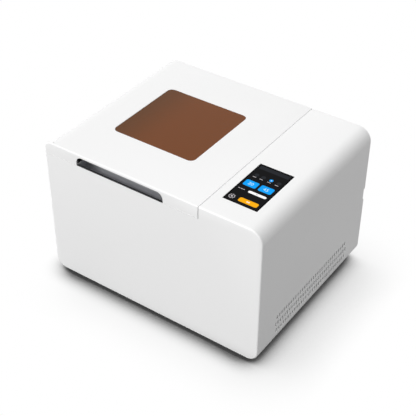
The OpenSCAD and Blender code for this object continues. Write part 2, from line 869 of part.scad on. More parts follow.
module power_supply() color("#b9bdc0")
  difference() {
    translate([supply_x, supply_y, tray_z]) cube([supply_w, supply_l, supply_h]);
    translate([supply_x - eps, supply_y - eps, tray_z + 12]) cube([supply_w + 2 * eps, 14, supply_h]);
    for (i = [0 : 9], j = [0 : 3])
      translate([supply_x + 18 + j * 20, supply_y + 30 + i * 12, tray_z + supply_h - 2])
        linear_extrude(3) slot_shape(12, 4.01);
  }

module power_inlet() color("#1d1e20")
  difference() {
    union() {
      slab(panel_y, panel_y + flange_t) translate([inlet_cx, power_z])
        round_square(2 * inlet_screw_out + 10, inlet_h + 3, 3);
      slab(panel_y - 24, panel_y + eps) translate([inlet_cx, power_z])
        round_square(inlet_w, inlet_h, 2);
    }
    slab(panel_y - 16, panel_y + flange_t + eps) translate([inlet_cx, power_z])
      round_square(inlet_w - 3, inlet_h - 3, 3);
    for (s = [-1, 1]) slab(panel_y - eps, panel_y + flange_t + eps)
      translate([inlet_cx + s * inlet_screw_out, power_z]) circle(1.8);
  }

module inlet_pins() color("#c8b27a")
  for (p = [[-7, -2], [0, 2], [7, -2]])
    translate([inlet_cx + p[0] - 1, panel_y - 16, power_z + p[1] - 2]) cube([2, 14, 4]);

module rocker_axis() {
  translate([switch_cx, panel_y - rocker_depth, power_z]) rotate([0, 90, 0]) children();
}

module switch_housing() color("#1d1e20") {
  cavity = rocker_r + 0.5;
  mouth = rocker_half + 1.1;
  difference() {
    union() {
      slab(panel_y, panel_y + flange_t) translate([switch_cx, power_z])
        round_square(switch_w + 2.5, switch_h + 2.5, 1);
      translate([switch_cx - switch_w / 2, panel_y - switch_d, power_z - switch_h / 2])
        cube([switch_w, switch_d + eps, switch_h]);
    }
    rocker_axis() cylinder(h = switch_w - 3, r = cavity, center = true);
    translate([switch_cx - switch_w / 2 + 1.5, panel_y - rocker_depth, power_z - mouth])
      cube([switch_w - 3, rocker_depth + flange_t + eps, 2 * mouth]);
    rocker_axis() cylinder(h = switch_w - 1, r = 1 + running, center = true);
  }
}

// The rocker is drawn pressed in at the bottom, which is off
module rocker_button() color("#2a2b2d")
  rocker_axis() rotate(-rocker_travel / 2) {
    linear_extrude(switch_w - 3.6, center = true) intersection() {
      circle(rocker_r);
      polygon([[-rocker_half, -4], [rocker_half, -4], [rocker_half, 5.4], [0, 3.4],
        [-rocker_half, 5.4]]);
    }
    cylinder(h = switch_w - 1.4, r = 1, center = true);
  }

// Fans

// Places things with a fan's middle on the rear panel's inner face, y pointing in
module at_fan(x, z) {
  translate([x, panel_y - wall, z]) rotate([90, 0, 0]) children();
}

module fan_frame() {
  boss = 15;
  difference() {
    linear_extrude(fan_t) round_square(fan_w, fan_w, 4);
    translate([0, 0, -eps]) cylinder(h = fan_t + 2 * eps, r = fan_w / 2 - 2);
    for (p = fan_screw_offsets()) translate([p[0], p[1], -eps]) cylinder(h = fan_t + 2 * eps, r = 2.1);
  }
  difference() {
    union() {
      translate([0, 0, fan_t - 3]) cylinder(h = 3, r = boss);
      for (i = [0 : 2]) rotate(30 + i * 120) translate([boss - 2, -2, fan_t - 2.6])
        cube([fan_w / 2 + 1 - boss, 4, 2.2]);
    }
    translate([0, 0, fan_t - 3 - eps]) cylinder(h = 2 + eps, r = 1.5 + running);
  }
}

module fan_impeller() {
  tip = fan_w / 2 - 3.5;
  blade_z = 1;
  blade_h = fan_t - 5.5;
  difference() {
    translate([0, 0, blade_z]) cylinder(h = blade_h, r = 14);
    translate([0, 0, blade_z + 1.2]) cylinder(h = blade_h, r = 12.4);
  }
  translate([0, 0, blade_z]) cylinder(h = fan_t - 3 + 1.6 - blade_z, r = 1.5);
  for (i = [0 : fan_blades - 1]) rotate(i * 360 / fan_blades)
    fan_blade(tip, blade_z + 0.4, blade_h - 0.8);
}

// A pitched blade, cut to the fan's radius
module fan_blade(tip, z, h) {
  intersection() {
    difference() {
      translate([0, 0, z]) cylinder(h = h, r = tip);
      cylinder(h = fan_t, r = 13.4);
    }
    translate([0, 0, z + h / 2]) rotate([52, 0, 0]) translate([13, -h, -0.6])
      cube([tip, 2 * h, 1.2]);
  }
}

module chamber_fan_frame() color("#232426")
  at_fan(lid_cx, led_z) fan_frame();

module chamber_fan_impeller() color("#2e3033")
  at_fan(lid_cx, led_z) fan_impeller();

module exhaust_fan_frame() color("#232426")
  at_fan(bay_cx, exhaust_z) fan_frame();

module exhaust_fan_impeller() color("#2e3033")
  at_fan(bay_cx, exhaust_z) fan_impeller();

module fan_screws() color("#8b8f92")
  for (c = [[lid_cx, led_z], [bay_cx, exhaust_z]], p = fan_screw_offsets())
    pan_screw(c + p, 12);

// Fastenings

// A screw into the rear panel, with its head outside
module pan_screw(p, l) {
  slab(panel_y, panel_y + pan_h) translate(p) circle(pan_r);
  slab(panel_y - l, panel_y + eps) translate(p) circle(thread_r);
}

module rear_screws() color("#8b8f92") {
  for (p = rear_screw_places()) pan_screw(p, 7);
  for (s = [-1, 1]) slab(panel_y + flange_t, panel_y + flange_t + 0.8)
    translate([inlet_cx + s * inlet_screw_out, power_z]) circle(2.6);
  for (s = [-1, 1]) slab(panel_y - 6, panel_y + flange_t + eps)
    translate([inlet_cx + s * inlet_screw_out, power_z]) circle(thread_r);
}

module base_screws() color("#8b8f92") {
  for (p = base_screw_places()) translate([p[0], p[1], 0]) {
    translate([0, 0, base_z - screw_head]) cylinder(h = screw_head, r = 3.4);
    translate([0, 0, base_z - eps]) cylinder(h = tray_z - base_z + eps, r = 2);
  }
  for (p = foot_places()) translate([p[0], p[1], 0]) {
    translate([0, 0, base_z - foot_grip - screw_head]) cylinder(h = screw_head, r = 3.4);
    translate([0, 0, base_z - foot_grip - eps]) cylinder(h = tray_z - base_z + foot_grip + eps, r = 2);
  }
}

module foot(i) color("#2c2d2f")
  translate([foot_places()[i][0], foot_places()[i][1], 0]) rotate_extrude()
    polygon([[2.1, base_z], [foot_d / 2, base_z], [foot_d / 2 - 1.6, 1], [foot_d / 2 - 2.6, 0],
      [3.6, 0], [3.6, base_z - foot_grip], [2.1, base_z - foot_grip]]);

front_panel();
right_cover();
left_cover();
rear_panel();
base_plate();
inner_deck();
finger_recess();
chamber_liner();
light_board(0);  // light_board_rear
light_board(1);  // light_board_left
light_board(2);  // light_board_front
light_board(3);  // light_board_right
emitters(0);  // emitters_rear
emitters(1);  // emitters_left
emitters(2);  // emitters_front
emitters(3);  // emitters_right
heat_sink(0);  // heat_sink_rear
heat_sink(1);  // heat_sink_left
heat_sink(2);  // heat_sink_front
heat_sink(3);  // heat_sink_right
turntable_motor();
motor_bracket();
power_supply();
control_board();
driver_board();
board_standoffs();
ribbon_cable();
screen_glass();
display_module();
display_bracket();
chamber_fan_frame();
chamber_fan_impeller();
exhaust_fan_frame();
exhaust_fan_impeller();
power_inlet();
inlet_pins();
switch_housing();
rocker_button();
lid_switch();
lid_magnet();
hinge_housing_leaves();
hinge_lid_leaves();
hinge_pins();
foot(0);  // foot_front_left
foot(2);  // foot_front_right
foot(1);  // foot_rear_left
foot(3);  // foot_rear_right
rear_screws();
base_screws();
fan_screws();
lid_shell();
lid_window();
window_retainer();
lid_liner();
lid_seal();
turntable_plate();
turntable_hub();
motor_shaft();
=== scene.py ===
"""Dresses the CAD frame of a tabletop light curing unit: formed edges, finishes and a lit screen."""

import json
import math

import bmesh
import bpy
from bpy.props import FloatProperty, FloatVectorProperty, PointerProperty
from mathutils import Matrix, Vector

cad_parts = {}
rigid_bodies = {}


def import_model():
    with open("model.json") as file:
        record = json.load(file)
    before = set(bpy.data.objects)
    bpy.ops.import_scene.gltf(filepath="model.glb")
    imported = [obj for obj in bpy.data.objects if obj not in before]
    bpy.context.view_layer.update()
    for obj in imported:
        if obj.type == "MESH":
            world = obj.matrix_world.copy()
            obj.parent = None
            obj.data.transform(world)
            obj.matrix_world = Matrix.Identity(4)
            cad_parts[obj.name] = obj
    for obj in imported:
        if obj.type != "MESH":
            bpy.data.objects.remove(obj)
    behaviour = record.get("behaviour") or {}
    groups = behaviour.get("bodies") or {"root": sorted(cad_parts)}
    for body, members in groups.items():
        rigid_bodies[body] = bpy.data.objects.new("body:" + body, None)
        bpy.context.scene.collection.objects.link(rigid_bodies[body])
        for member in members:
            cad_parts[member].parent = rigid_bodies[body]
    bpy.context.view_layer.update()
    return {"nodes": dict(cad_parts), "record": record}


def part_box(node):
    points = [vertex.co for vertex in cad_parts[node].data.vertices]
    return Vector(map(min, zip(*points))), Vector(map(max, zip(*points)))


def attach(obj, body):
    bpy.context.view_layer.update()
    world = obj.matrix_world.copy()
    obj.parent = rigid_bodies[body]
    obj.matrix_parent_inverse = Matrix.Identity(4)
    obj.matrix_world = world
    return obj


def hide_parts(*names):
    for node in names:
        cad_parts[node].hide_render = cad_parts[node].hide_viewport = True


bl_info = {
    "name": "Light Curing Unit",
    "version": (1, 0, 0),
    "blender": (4, 5, 0),
    "location": "View3D > Sidebar > Curing Unit",
    "description": "Builds a tabletop light curing unit around its CAD frame",
    "category": "Add Mesh",
}

MM = 0.001
# Edges bent by more than this stay sharp in the shading, and are the ones that get rounded
SHARP = math.radians(35)
# Nearly all of a noise pattern lies between these, and this much is spread over a socket's range
MIDDLE = {"From Min": 0.3, "From Max": 0.7}
# Width of the seam between the lid and the control section, in mm
SEAM_GAP = 0.9
SIDES = ("rear", "left", "front", "right")

for leftover in list(bpy.data.objects):
    bpy.data.objects.remove(leftover)

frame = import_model()
BODY_OF = {
    node: body
    for body, nodes in frame["record"]["behaviour"]["bodies"].items()
    for node in nodes
}


# Colours and nodes


def linear(code):
    """The linear colour of an sRGB hex code."""
    channels = [int(code[i : i + 2], 16) / 255 for i in (0, 2, 4)]
    return [c / 12.92 if c <= 0.04045 else ((c + 0.055) / 1.055) ** 2.4 for c in channels]


def per_mm(size):
    """A texture scale whose features are about size millimetres across."""
    return 1 / (size * MM)


def add_node(tree, kind, inputs=None, feeds=None, **settings):
    """Adds a node, sets its properties, gives its inputs values or links, and links its outputs."""
    node = tree.nodes.new(kind)
    for name, value in settings.items():
        setattr(node, name, value)
    for socket, value in (inputs or {}).items():
        if isinstance(value, bpy.types.NodeSocket):
            tree.links.new(value, node.inputs[socket])
        else:
            node.inputs[socket].default_value = value
    for output, socket in (feeds or {}).items():
        tree.links.new(node.outputs[output], socket)
    return node


def new_finish(name, colour, roughness, **sockets):
    """Starts a material: its shader, and the object coordinates that its patterns read."""
    material = bpy.data.materials.new(name)
    material.use_nodes = True
    tree = material.node_tree
    tree.nodes.clear()
    shader = add_node(
        tree,
        "ShaderNodeBsdfPrincipled",
        {"Base Color": (*colour, 1), "Roughness": roughness, **sockets},
    )
    add_node(tree, "ShaderNodeOutputMaterial", {"Surface": shader.outputs["BSDF"]})
    place = add_node(tree, "ShaderNodeTexCoord").outputs["Object"]
    return material, tree, shader, place


def grain(tree, shader, place, size, height, detail=2.0, stretch=(1, 1, 1)):
    """Raises a fine grain on the surface: size across and height in millimetres."""
    stretched = add_node(tree, "ShaderNodeMapping", {"Vector": place, "Scale": stretch})
    noise = add_node(
        tree,
        "ShaderNodeTexNoise",
        {"Vector": stretched.outputs["Vector"], "Scale": per_mm(size), "Detail": detail},
    )
    add_node(
        tree,
        "ShaderNodeBump",
        {"Height": noise.outputs["Fac"], "Distance": height * MM, "Strength": 1.0},
        {"Normal": shader.inputs["Normal"]},
    )
    return noise


# Finishes


def powder_coat(name, colour, roughness):
    """Matted polyester powder coat on folded sheet steel, with a faint orange peel."""
    material, tree, shader, place = new_finish(
        name, colour, roughness, **{"Specular IOR Level": 0.3}
    )
    # The real peel is about 0.5 mm; 1.6 mm is as fine as the render can show
    peel = grain(tree, shader, place, 1.6, 0.006)
    add_node(
        tree,
        "ShaderNodeMapRange",
        {
            **MIDDLE,
            "Value": peel.outputs["Fac"],
            "To Min": roughness - 0.03,
            "To Max": roughness + 0.03,
        },
        {"Result": shader.inputs["Roughness"]},
    )
    cloud = add_node(tree, "ShaderNodeTexNoise", {"Vector": place, "Scale": per_mm(140)})
    add_node(
        tree,
        "ShaderNodeMix",
        {
            "Factor": cloud.outputs["Fac"],
            "A": (*colour, 1),
            "B": (*[c * 0.985 for c in colour], 1),
        },
        {"Result": shader.inputs["Base Color"]},
        data_type="RGBA",
    )
    return material


def zinc_plated(name):
    """Zinc-plated steel sheet: a cool grey metal with soft spangle."""
    material, tree, shader, place = new_finish(name, linear("B9BDC0"), 0.38, Metallic=1.0)
    spangle = add_node(tree, "ShaderNodeTexVoronoi", {"Vector": place, "Scale": per_mm(7)})
    add_node(
        tree,
        "ShaderNodeMapRange",
        {**MIDDLE, "Value": spangle.outputs["Distance"], "To Min": 0.3, "To Max": 0.46},
        {"Result": shader.inputs["Roughness"]},
    )
    add_node(
        tree,
        "ShaderNodeMix",
        {
            "Factor": spangle.outputs["Distance"],
            "A": (*linear("C3C7CA"), 1),
            "B": (*linear("AEB2B6"), 1),
        },
        {"Result": shader.inputs["Base Color"]},
        data_type="RGBA",
    )
    return material


def bright_sheet(name):
    """Bright-rolled stainless sheet for the reflector: hairlines that run level round the walls."""
    material, tree, shader, place = new_finish(name, linear("D3D6D8"), 0.26, Metallic=1.0)
    hairline = grain(tree, shader, place, 0.5, 0.003, stretch=(0.02, 0.02, 1))
    add_node(
        tree,
        "ShaderNodeMapRange",
        {**MIDDLE, "Value": hairline.outputs["Fac"], "To Min": 0.2, "To Max": 0.34},
        {"Result": shader.inputs["Roughness"]},
    )
    return material


def extruded_aluminium(name):
    """Mill-finish extruded aluminium: die lines that run up the fins."""
    material, tree, shader, place = new_finish(name, linear("A6AAAE"), 0.42, Metallic=1.0)
    lines = grain(tree, shader, place, 0.6, 0.01, stretch=(1, 1, 0.02))
    add_node(
        tree,
        "ShaderNodeMapRange",
        {**MIDDLE, "Value": lines.outputs["Fac"], "To Min": 0.34, "To Max": 0.5},
        {"Result": shader.inputs["Roughness"]},
    )
    return material


def cast_acrylic(name, colour, start, reach):
    """Cast amber acrylic, which blocks the curing light: smooth and brown, with painted shade that
    darkens it towards its left edge.
    """
    material, tree, shader, place = new_finish(
        name, colour, 0.12, **{"IOR": 1.25, "Transmission Weight": 0.4}
    )
    # Painted shade: the base colour darkens towards the pane's left edge, over reach millimetres from
    # start
    across = add_node(
        tree,
        "ShaderNodeMapping",
        {"Vector": place, "Location": start, "Scale": (reach * MM, 1, 1)},
        vector_type="TEXTURE",
    )
    depth = add_node(
        tree, "ShaderNodeTexGradient", {"Vector": across.outputs["Vector"]}, gradient_type="EASING"
    )
    add_node(
        tree,
        "ShaderNodeMix",
        {
            "Factor": depth.outputs["Fac"],
            "A": (*[c * share for c, share in zip(colour, (0.68, 0.8, 0.9))], 1),
            "B": (*colour, 1),
        },
        {"Result": shader.inputs["Base Color"]},
        data_type="RGBA",
    )
    cloud = add_node(tree, "ShaderNodeTexNoise", {"Vector": place, "Scale": per_mm(90)})
    add_node(
        tree,
        "ShaderNodeMapRange",
        {**MIDDLE, "Value": cloud.outputs["Fac"], "To Min": 0.09, "To Max": 0.15},
        {"Result": shader.inputs["Roughness"]},
    )
    return material


def moulded_plastic(name, colour, roughness, size=0.8, height=0.02):
    """Injection-moulded ABS from a spark-eroded mould: an even, fine matt grain."""
    material, tree, shader, place = new_finish(name, colour, roughness)
    texture = grain(tree, shader, place, size, height, detail=3.0)
    add_node(
        tree,
        "ShaderNodeMapRange",
        {
            **MIDDLE,
            "Value": texture.outputs["Fac"],
            "To Min": roughness - 0.06,
            "To Max": roughness + 0.06,
        },
        {"Result": shader.inputs["Roughness"]},
    )
    return material


def rubber(name, colour, size):
    """Moulded rubber: dull, with a dusty bloom on the high spots."""
    material, tree, shader, place = new_finish(name, colour, 0.82)
    skin = grain(tree, shader, place, size, 0.03, detail=4.0)
    add_node(
        tree,
        "ShaderNodeMix",
        {
            "Factor": skin.outputs["Fac"],
            "A": (*[c * 0.85 for c in colour], 1),
            "B": (*[min(1, c * 1.25 + 0.005) for c in colour], 1),
        },
        {"Result": shader.inputs["Base Color"]},
        data_type="RGBA",
    )
    return material


def solder_mask(name, board, trace):
    """Epoxy board under solder mask: copper traces show as a slightly lighter tone."""
    material, tree, shader, place = new_finish(name, linear(board), 0.35, **{"IOR": 1.5})
    tracks = add_node(
        tree,
        "ShaderNodeTexBrick",
        {
            "Vector": place,
            "Scale": per_mm(4),
            "Mortar Size": 0.12,
            "Color1": (*linear(board), 1),
            "Color2": (*linear(board), 1),
            "Mortar": (*linear(trace), 1),
            "Brick Width": 1.7,
            "Row Height": 0.6,
        },
        {"Color": shader.inputs["Base Color"]},
    )
    add_node(
        tree,
        "ShaderNodeBump",
        {"Height": tracks.outputs["Fac"], "Distance": 0.03 * MM, "Strength": 0.6},
        {"Normal": shader.inputs["Normal"]},
    )
    return material


def silicone_lens(name):
    """Clear silicone over a phosphor-free violet emitter chip: pale straw, wet-looking."""
    material, tree, shader, place = new_finish(
        name, linear("E3D9A6"), 0.08, **{"IOR": 1.41, "Transmission Weight": 0.35}
    )
    die = add_node(tree, "ShaderNodeTexNoise", {"Vector": place, "Scale": per_mm(2)})
    add_node(
        tree,
        "ShaderNodeMix",
        {
            "Factor": die.outputs["Fac"],
            "A": (*linear("EFE8C4"), 1),
            "B": (*linear("C9BC78"), 1),
        },
        {"Result": shader.inputs["Base Color"]},
        data_type="RGBA",
    )
    return material


def printed_glass(name):
    """Anti-reflection coated cover glass with black ink behind it: near black, faintly glossy."""
    material, tree, shader, place = new_finish(
        name, linear("050507"), 0.09, **{"IOR": 1.52, "Specular IOR Level": 0.015}
    )
    smear = add_node(
        tree, "ShaderNodeTexNoise", {"Vector": place, "Scale": per_mm(24), "Detail": 3.0}
    )
    add_node(
        tree,
        "ShaderNodeMapRange",
        {**MIDDLE, "Value": smear.outputs["Fac"], "To Min": 0.06, "To Max": 0.14},
        {"Result": shader.inputs["Roughness"]},
    )
    return material


def turned_brass(name):
    """Turned brass: warm metal with rings from the lathe tool."""
    material, tree, shader, place = new_finish(name, linear("C8A24E"), 0.3, Metallic=1.0)
    rings = grain(tree, shader, place, 0.7, 0.004, stretch=(0.05, 0.05, 1))
    add_node(
        tree,
        "ShaderNodeMapRange",
        {**MIDDLE, "Value": rings.outputs["Fac"], "To Min": 0.22, "To Max": 0.38},
        {"Result": shader.inputs["Roughness"]},
    )
    return material


def spring_steel(name):
    """Ground and nickel-plated steel for screws, pins and shafts."""
    material, tree, shader, place = new_finish(name, linear("A9ABAD"), 0.28, Metallic=1.0)
    fine = grain(tree, shader, place, 0.5, 0.003)
    add_node(
        tree,
        "ShaderNodeMapRange",
        {**MIDDLE, "Value": fine.outputs["Fac"], "To Min": 0.22, "To Max": 0.36},
        {"Result": shader.inputs["Roughness"]},
    )
    return material


def flat_ribbon(name):
    """Grey PVC ribbon: one ridge for each wire, 1.27 mm apart, with painted shade in the grooves and a
    painted highlight on the ridges.
    """
    material, tree, shader, place = new_finish(name, linear("C9CACA"), 0.5)
    ridges = add_node(
        tree,
        "ShaderNodeTexWave",
        {"Vector": place, "Scale": per_mm(1.27) / (2 * math.pi) * 2, "Distortion": 0.0},
        bands_direction="X",
    )
    add_node(
        tree,
        "ShaderNodeBump",
        {"Height": ridges.outputs["Fac"], "Distance": 0.3 * MM, "Strength": 0.8},
        {"Normal": shader.inputs["Normal"]},
    )
    # Painted shade and highlight: the colour follows the ridges, darker in the grooves and lighter on
    # the crests
    add_node(
        tree,
        "ShaderNodeMix",
        {
            "Factor": ridges.outputs["Fac"],
            "A": (*linear("9DA0A2"), 1),
            "B": (*linear("D6D7D7"), 1),
        },
        {"Result": shader.inputs["Base Color"]},
        data_type="RGBA",
    )
    return material


def lit_pixels(name, colour):
    """A lit area of the display behind its cover glass; its pixels are finer than a render shows."""
    material, tree, shader, place = new_finish(
        name,
        [c * 0.05 for c in colour],
        0.1,
        **{
            "IOR": 1.52,
            "Specular IOR Level": 0.015,
            "Emission Color": (*colour, 1),
            "Emission Strength": 1.0,
        },
    )
    glow = add_node(tree, "ShaderNodeTexNoise", {"Vector": place, "Scale": per_mm(18)})
    add_node(
        tree,
        "ShaderNodeMapRange",
        {**MIDDLE, "Value": glow.outputs["Fac"], "To Min": 0.07, "To Max": 0.13},
        {"Result": shader.inputs["Roughness"]},
    )
    return material


# Shaping


def as_mesh(bm, name="part"):
    """The bmesh as a mesh. The bmesh is freed."""
    mesh = bpy.data.meshes.new(name)
    bm.to_mesh(mesh)
    bm.free()
    return mesh


def finish_object(name, bm, material, bevel=0.0, segments=2):
    """Makes an object of a bmesh: one material, smooth but for its sharp edges, edges rounded."""
    mesh = as_mesh(bm, name)
    if "custom_normal" in mesh.attributes:
        mesh.attributes.remove(mesh.attributes["custom_normal"])
    mesh.materials.clear()
    mesh.materials.append(material)
    for face in mesh.polygons:
        face.use_smooth = True
        face.material_index = 0
    mesh.set_sharp_from_angle(angle=SHARP)
    piece = bpy.data.objects.new(name, mesh)
    bpy.context.scene.collection.objects.link(piece)
    if bevel:
        rounding = piece.modifiers.new("edges", "BEVEL")
        rounding.width = bevel * MM
        rounding.segments = segments
        rounding.limit_method = "ANGLE"
        rounding.angle_limit = SHARP
        rounding.use_clamp_overlap = True
        rounding.harden_normals = True
    return piece


def merged_copy(cad):
    """A bmesh of a CAD node with its loose triangles joined into whole faces."""
    bm = bmesh.new()
    bm.from_mesh(frame["nodes"][cad].data)
    bmesh.ops.remove_doubles(bm, verts=bm.verts, dist=2e-6)
    bmesh.ops.dissolve_limit(bm, angle_limit=math.radians(0.6), verts=bm.verts, edges=bm.edges)
    return bm


def belongs(piece, cad, stands_for=True):
    """Rides the piece on its CAD node's body, and may put it in the node's place."""
    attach(piece, BODY_OF[cad])
    if stands_for:
        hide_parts(cad)


def formed(cad, name, material, bevel, segments=2):
    """Makes the CAD node with its edges broken, as folded, moulded or machined parts have them."""
    belongs(finish_object(name, merged_copy(cad), material, bevel, segments), cad)


def folded(cad, name, material, bevel, fold, x):
    """Makes a sheet part whose skin also bends down along the seam at x, with a wider rounding."""
    bm = merged_copy(cad)
    near = 0.02 * MM
    # The top and its front fold lie within 18 mm of the highest point; the edges below stay tight
    fold_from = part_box(cad)[1].z - 18 * MM
    along = []
    for edge in bm.edges:
        if len(edge.link_faces) != 2 or any(abs(v.co.x - x) > near for v in edge.verts):
            continue
        side, skin = sorted(edge.link_faces, key=lambda face: -abs(face.normal.x))
        upper = skin.normal.z > 0.3 and edge.verts[0].co.z > fold_from
        if upper and abs(side.normal.x) > 0.99:
            along.append(edge)
    rounded(bm, along, fold * MM, 4)
    belongs(finish_object(name, bm, material, bevel, 3), cad)


def millimetres(cad):
    """The lowest x, y and z of a CAD node, and its highest, in millimetres."""
    return [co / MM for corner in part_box(cad) for co in corner]


def rounded(bm, edges, radius, segments):
    """Rounds some edges of a bmesh: the radius is in metres."""
    bmesh.ops.bevel(
        bm,
        geom=edges,
        offset=radius,
        segments=segments,
        affect="EDGES",
        profile=0.5,
        material=-1,
        clamp_overlap=True,
    )


def islands(cad):
    """The lowest and highest corner of each separate solid of a CAD node."""
    bm = merged_copy(cad)
    boxes = []
    unseen = set(bm.verts)
    while unseen:
        stack = [unseen.pop()]
        found = []
        while stack:
            vert = stack.pop()
            found.append(vert.co.copy())
            for edge in vert.link_edges:
                other = edge.other_vert(vert)
                if other in unseen:
                    unseen.remove(other)
                    stack.append(other)
        boxes.append(
            (
                Vector([min(co[i] for co in found) for i in range(3)]),
                Vector([max(co[i] for co in found) for i in range(3)]),
            )
        )
    bm.free()
    return sorted(boxes, key=lambda box: tuple(round(v, 5) for v in box[0]))


def lathe(bm, profile, steps=32):
    """Spins a profile of (radius, height) in millimetres round the Z axis."""
    verts = [bm.verts.new((r * MM, 0, z * MM)) for r, z in profile]
    edges = [bm.edges.new(pair) for pair in zip(verts, verts[1:])]
    bmesh.ops.spin(
        bm,
        geom=verts + edges,
        axis=(0, 0, 1),
        cent=(0, 0, 0),
        angle=2 * math.pi,
        steps=steps,
        use_merge=True,
    )
    bmesh.ops.remove_doubles(bm, verts=bm.verts, dist=1e-6)
    bmesh.ops.recalc_face_normals(bm, faces=bm.faces)


def block(bm, middle, size):
    """A box given by its middle and its size in metres."""
    made = bmesh.ops.create_cube(bm, size=1.0)["verts"]
    bmesh.ops.scale(bm, vec=size, verts=made)
    bmesh.ops.translate(bm, vec=middle, verts=made)
    return made


def tile(bm, centre, size, radius, z, thick, segments=6):
    """A flat plate with rounded corners, all in metres: z is its underside."""
    made = block(bm, (centre[0], centre[1], z + thick / 2), (size[0], size[1], thick))
    upright = [
        edge
        for edge in {e for v in made for e in v.link_edges}
        if abs(edge.verts[0].co.z - edge.verts[1].co.z) > thick / 2
    ]
    rounded(bm, upright, radius, segments)


def disc(bm, centre, radius, z, thick, segments=32):
    """A flat disc, in metres: z is its underside."""
    made = bmesh.ops.create_cone(
        bm, cap_ends=True, segments=segments, radius1=radius, radius2=radius, depth=thick
    )["verts"]
    bmesh.ops.translate(bm, vec=(centre[0], centre[1], z + thick / 2), verts=made)


def stamp(bm, template, matrix):
    """Adds a copy of a mesh to the bmesh, moved by a matrix."""
    before = set(bm.verts)
    bm.from_mesh(template)
    bmesh.ops.transform(bm, matrix=matrix, verts=[v for v in bm.verts if v not in before])


def press(bm, part, matrix):
    """Adds another bmesh to the bmesh, moved by a matrix. The other is freed."""
    mesh = as_mesh(part)
    stamp(bm, mesh, matrix)
    bpy.data.meshes.remove(mesh)


def carved(bm, cutter):
    """The bmesh with a second one cut out of it, as a mesh. Both are freed."""
    pair = []
    for source in (bm, cutter):
        pair.append(bpy.data.objects.new("carving", as_mesh(source)))
        bpy.context.scene.collection.objects.link(pair[-1])
    cut = pair[0].modifiers.new("cut", "BOOLEAN")
    cut.operation = "DIFFERENCE"
    cut.solver = "EXACT"
    cut.object = pair[1]
    # The two arms of a cross overlap, and without this the result may come out empty
    cut.use_self = True
    graph = bpy.context.evaluated_depsgraph_get()
    result = bpy.data.meshes.new_from_object(pair[0].evaluated_get(graph))
    for helper in pair:
        bpy.data.objects.remove(helper)
    return result


def screw_mesh(radius, height, shank, length):
    """A pan-head screw pointing down -Z with its head on the plane z = 0, and a cross recess."""
    bm = bmesh.new()
    lathe(
        bm,
        [(0, height), (radius * 0.55, height * 0.98), (radius * 0.85, height * 0.8),
         (radius * 0.98, height * 0.45), (radius, 0.05), (radius * 0.98, 0), (shank, 0),
         (shank, -length + 0.4), (shank - 0.4, -length), (0, -length)],
        steps=24,
    )
    cutter = bmesh.new()
    arm = radius * 0.62
    for size in ((2 * arm, radius * 0.24), (radius * 0.24, 2 * arm)):
        block(cutter, (0, 0, height * 0.9 * MM), (size[0] * MM, size[1] * MM, height * MM))
    return carved(bm, cutter)


def turned_to(direction):
    """A rotation that takes +Z to a direction."""
    return Vector((0, 0, 1)).rotation_difference(Vector(direction)).to_matrix().to_4x4()


# Settings


class CuringUnitColours(bpy.types.PropertyGroup):
    """Colours of the casing, the window and the screen"""

    casing: FloatVectorProperty(
        name="Casing", description="Powder coat", subtype="COLOR", default=linear("F1F1F1")
    )
    rear: FloatVectorProperty(
        name="Rear", description="Powder coat of the rear and base", subtype="COLOR",
        default=linear("DDDEDF"),
    )
    window: FloatVectorProperty(
        name="Window", description="Amber acrylic", subtype="COLOR", default=linear("8B4E1E")
    )
    tiles: FloatVectorProperty(
        name="Tiles", description="Lit tiles on the screen", subtype="COLOR",
        default=linear("12A1F7"),
    )
    button: FloatVectorProperty(
        name="Button", description="Start button on the screen", subtype="COLOR",
        default=linear("F9AE12"),
    )


class CuringUnitSizes(bpy.types.PropertyGroup):
    """Edge roundings, in millimetres"""

    sheet_edge: FloatProperty(
        name="Sheet Edge", description="Rounding of cut sheet edges, in mm", default=0.35,
        min=0.1, max=0.95,
    )
    seam_edge: FloatProperty(
        name="Seam Edge", description="Rounding of the folds along the lid's seam, in mm",
        default=1.6, min=0.2, max=1.9,
    )
    plastic_edge: FloatProperty(
        name="Plastic Edge", description="Rounding of moulded edges, in mm", default=0.4,
        min=0.05, max=1.0,
    )
    machined_edge: FloatProperty(
        name="Machined Edge", description="Chamfer of machined edges, in mm", default=0.2,
        min=0.05, max=0.5,
    )


class CuringUnitStage(bpy.types.PropertyGroup):
    """Camera and light"""

    azimuth: FloatProperty(
        name="Azimuth", description="Camera direction round the unit", subtype="ANGLE",
        default=math.radians(34.529),
    )
    elevation: FloatProperty(
        name="Elevation", description="Camera height angle", subtype="ANGLE",
        default=math.radians(37.754),
    )
    roll: FloatProperty(
        name="Roll", description="Camera tilt", subtype="ANGLE", default=math.radians(0.472)
    )
    place: FloatVectorProperty(
        name="Place", description="Camera position", subtype="TRANSLATION",
        default=(0.66779, -0.9753, 1.02056),
    )
    lens: FloatProperty(name="Lens", description="Focal length in mm", default=85.793)
    front: FloatProperty(name="Front", description="Strength of the front light", default=1.83)
    top: FloatProperty(name="Top", description="Strength of the top light", default=0.25)
    sky: FloatProperty(name="Sky", description="Strength of the surrounding light", default=0.715)


# Pieces


class CURINGUNIT_OT_casing(bpy.types.Operator):
    """Forms the folded sheet casing, the deck and the finger recess"""

    bl_idname = "curing_unit.casing"
    bl_label = "Casing"

    def execute(self, context):
        sizes = context.scene.curing_sizes
        colours = context.scene.curing_colours
        white = powder_coat("powder_coated_steel_white", list(colours.casing), 0.42)
        grey = powder_coat("powder_coated_steel_grey", list(colours.rear), 0.5)
        recess = moulded_plastic("moulded_abs_recess", linear("ACADB2"), 0.4)
        edge = sizes.sheet_edge
        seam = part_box("lid_shell")[1].x + SEAM_GAP * MM
        for cad in ("front_panel", "right_cover"):
            folded(cad, cad + "_sheet", white, edge, sizes.seam_edge, seam)
        formed("left_cover", "left_cover_sheet", white, edge, segments=3)
        for cad in ("rear_panel", "base_plate", "inner_deck"):
            formed(cad, cad + "_sheet", grey, edge * 0.6)
        formed("finger_recess", "finger_recess_moulding", recess, sizes.plastic_edge)
        return {"FINISHED"}


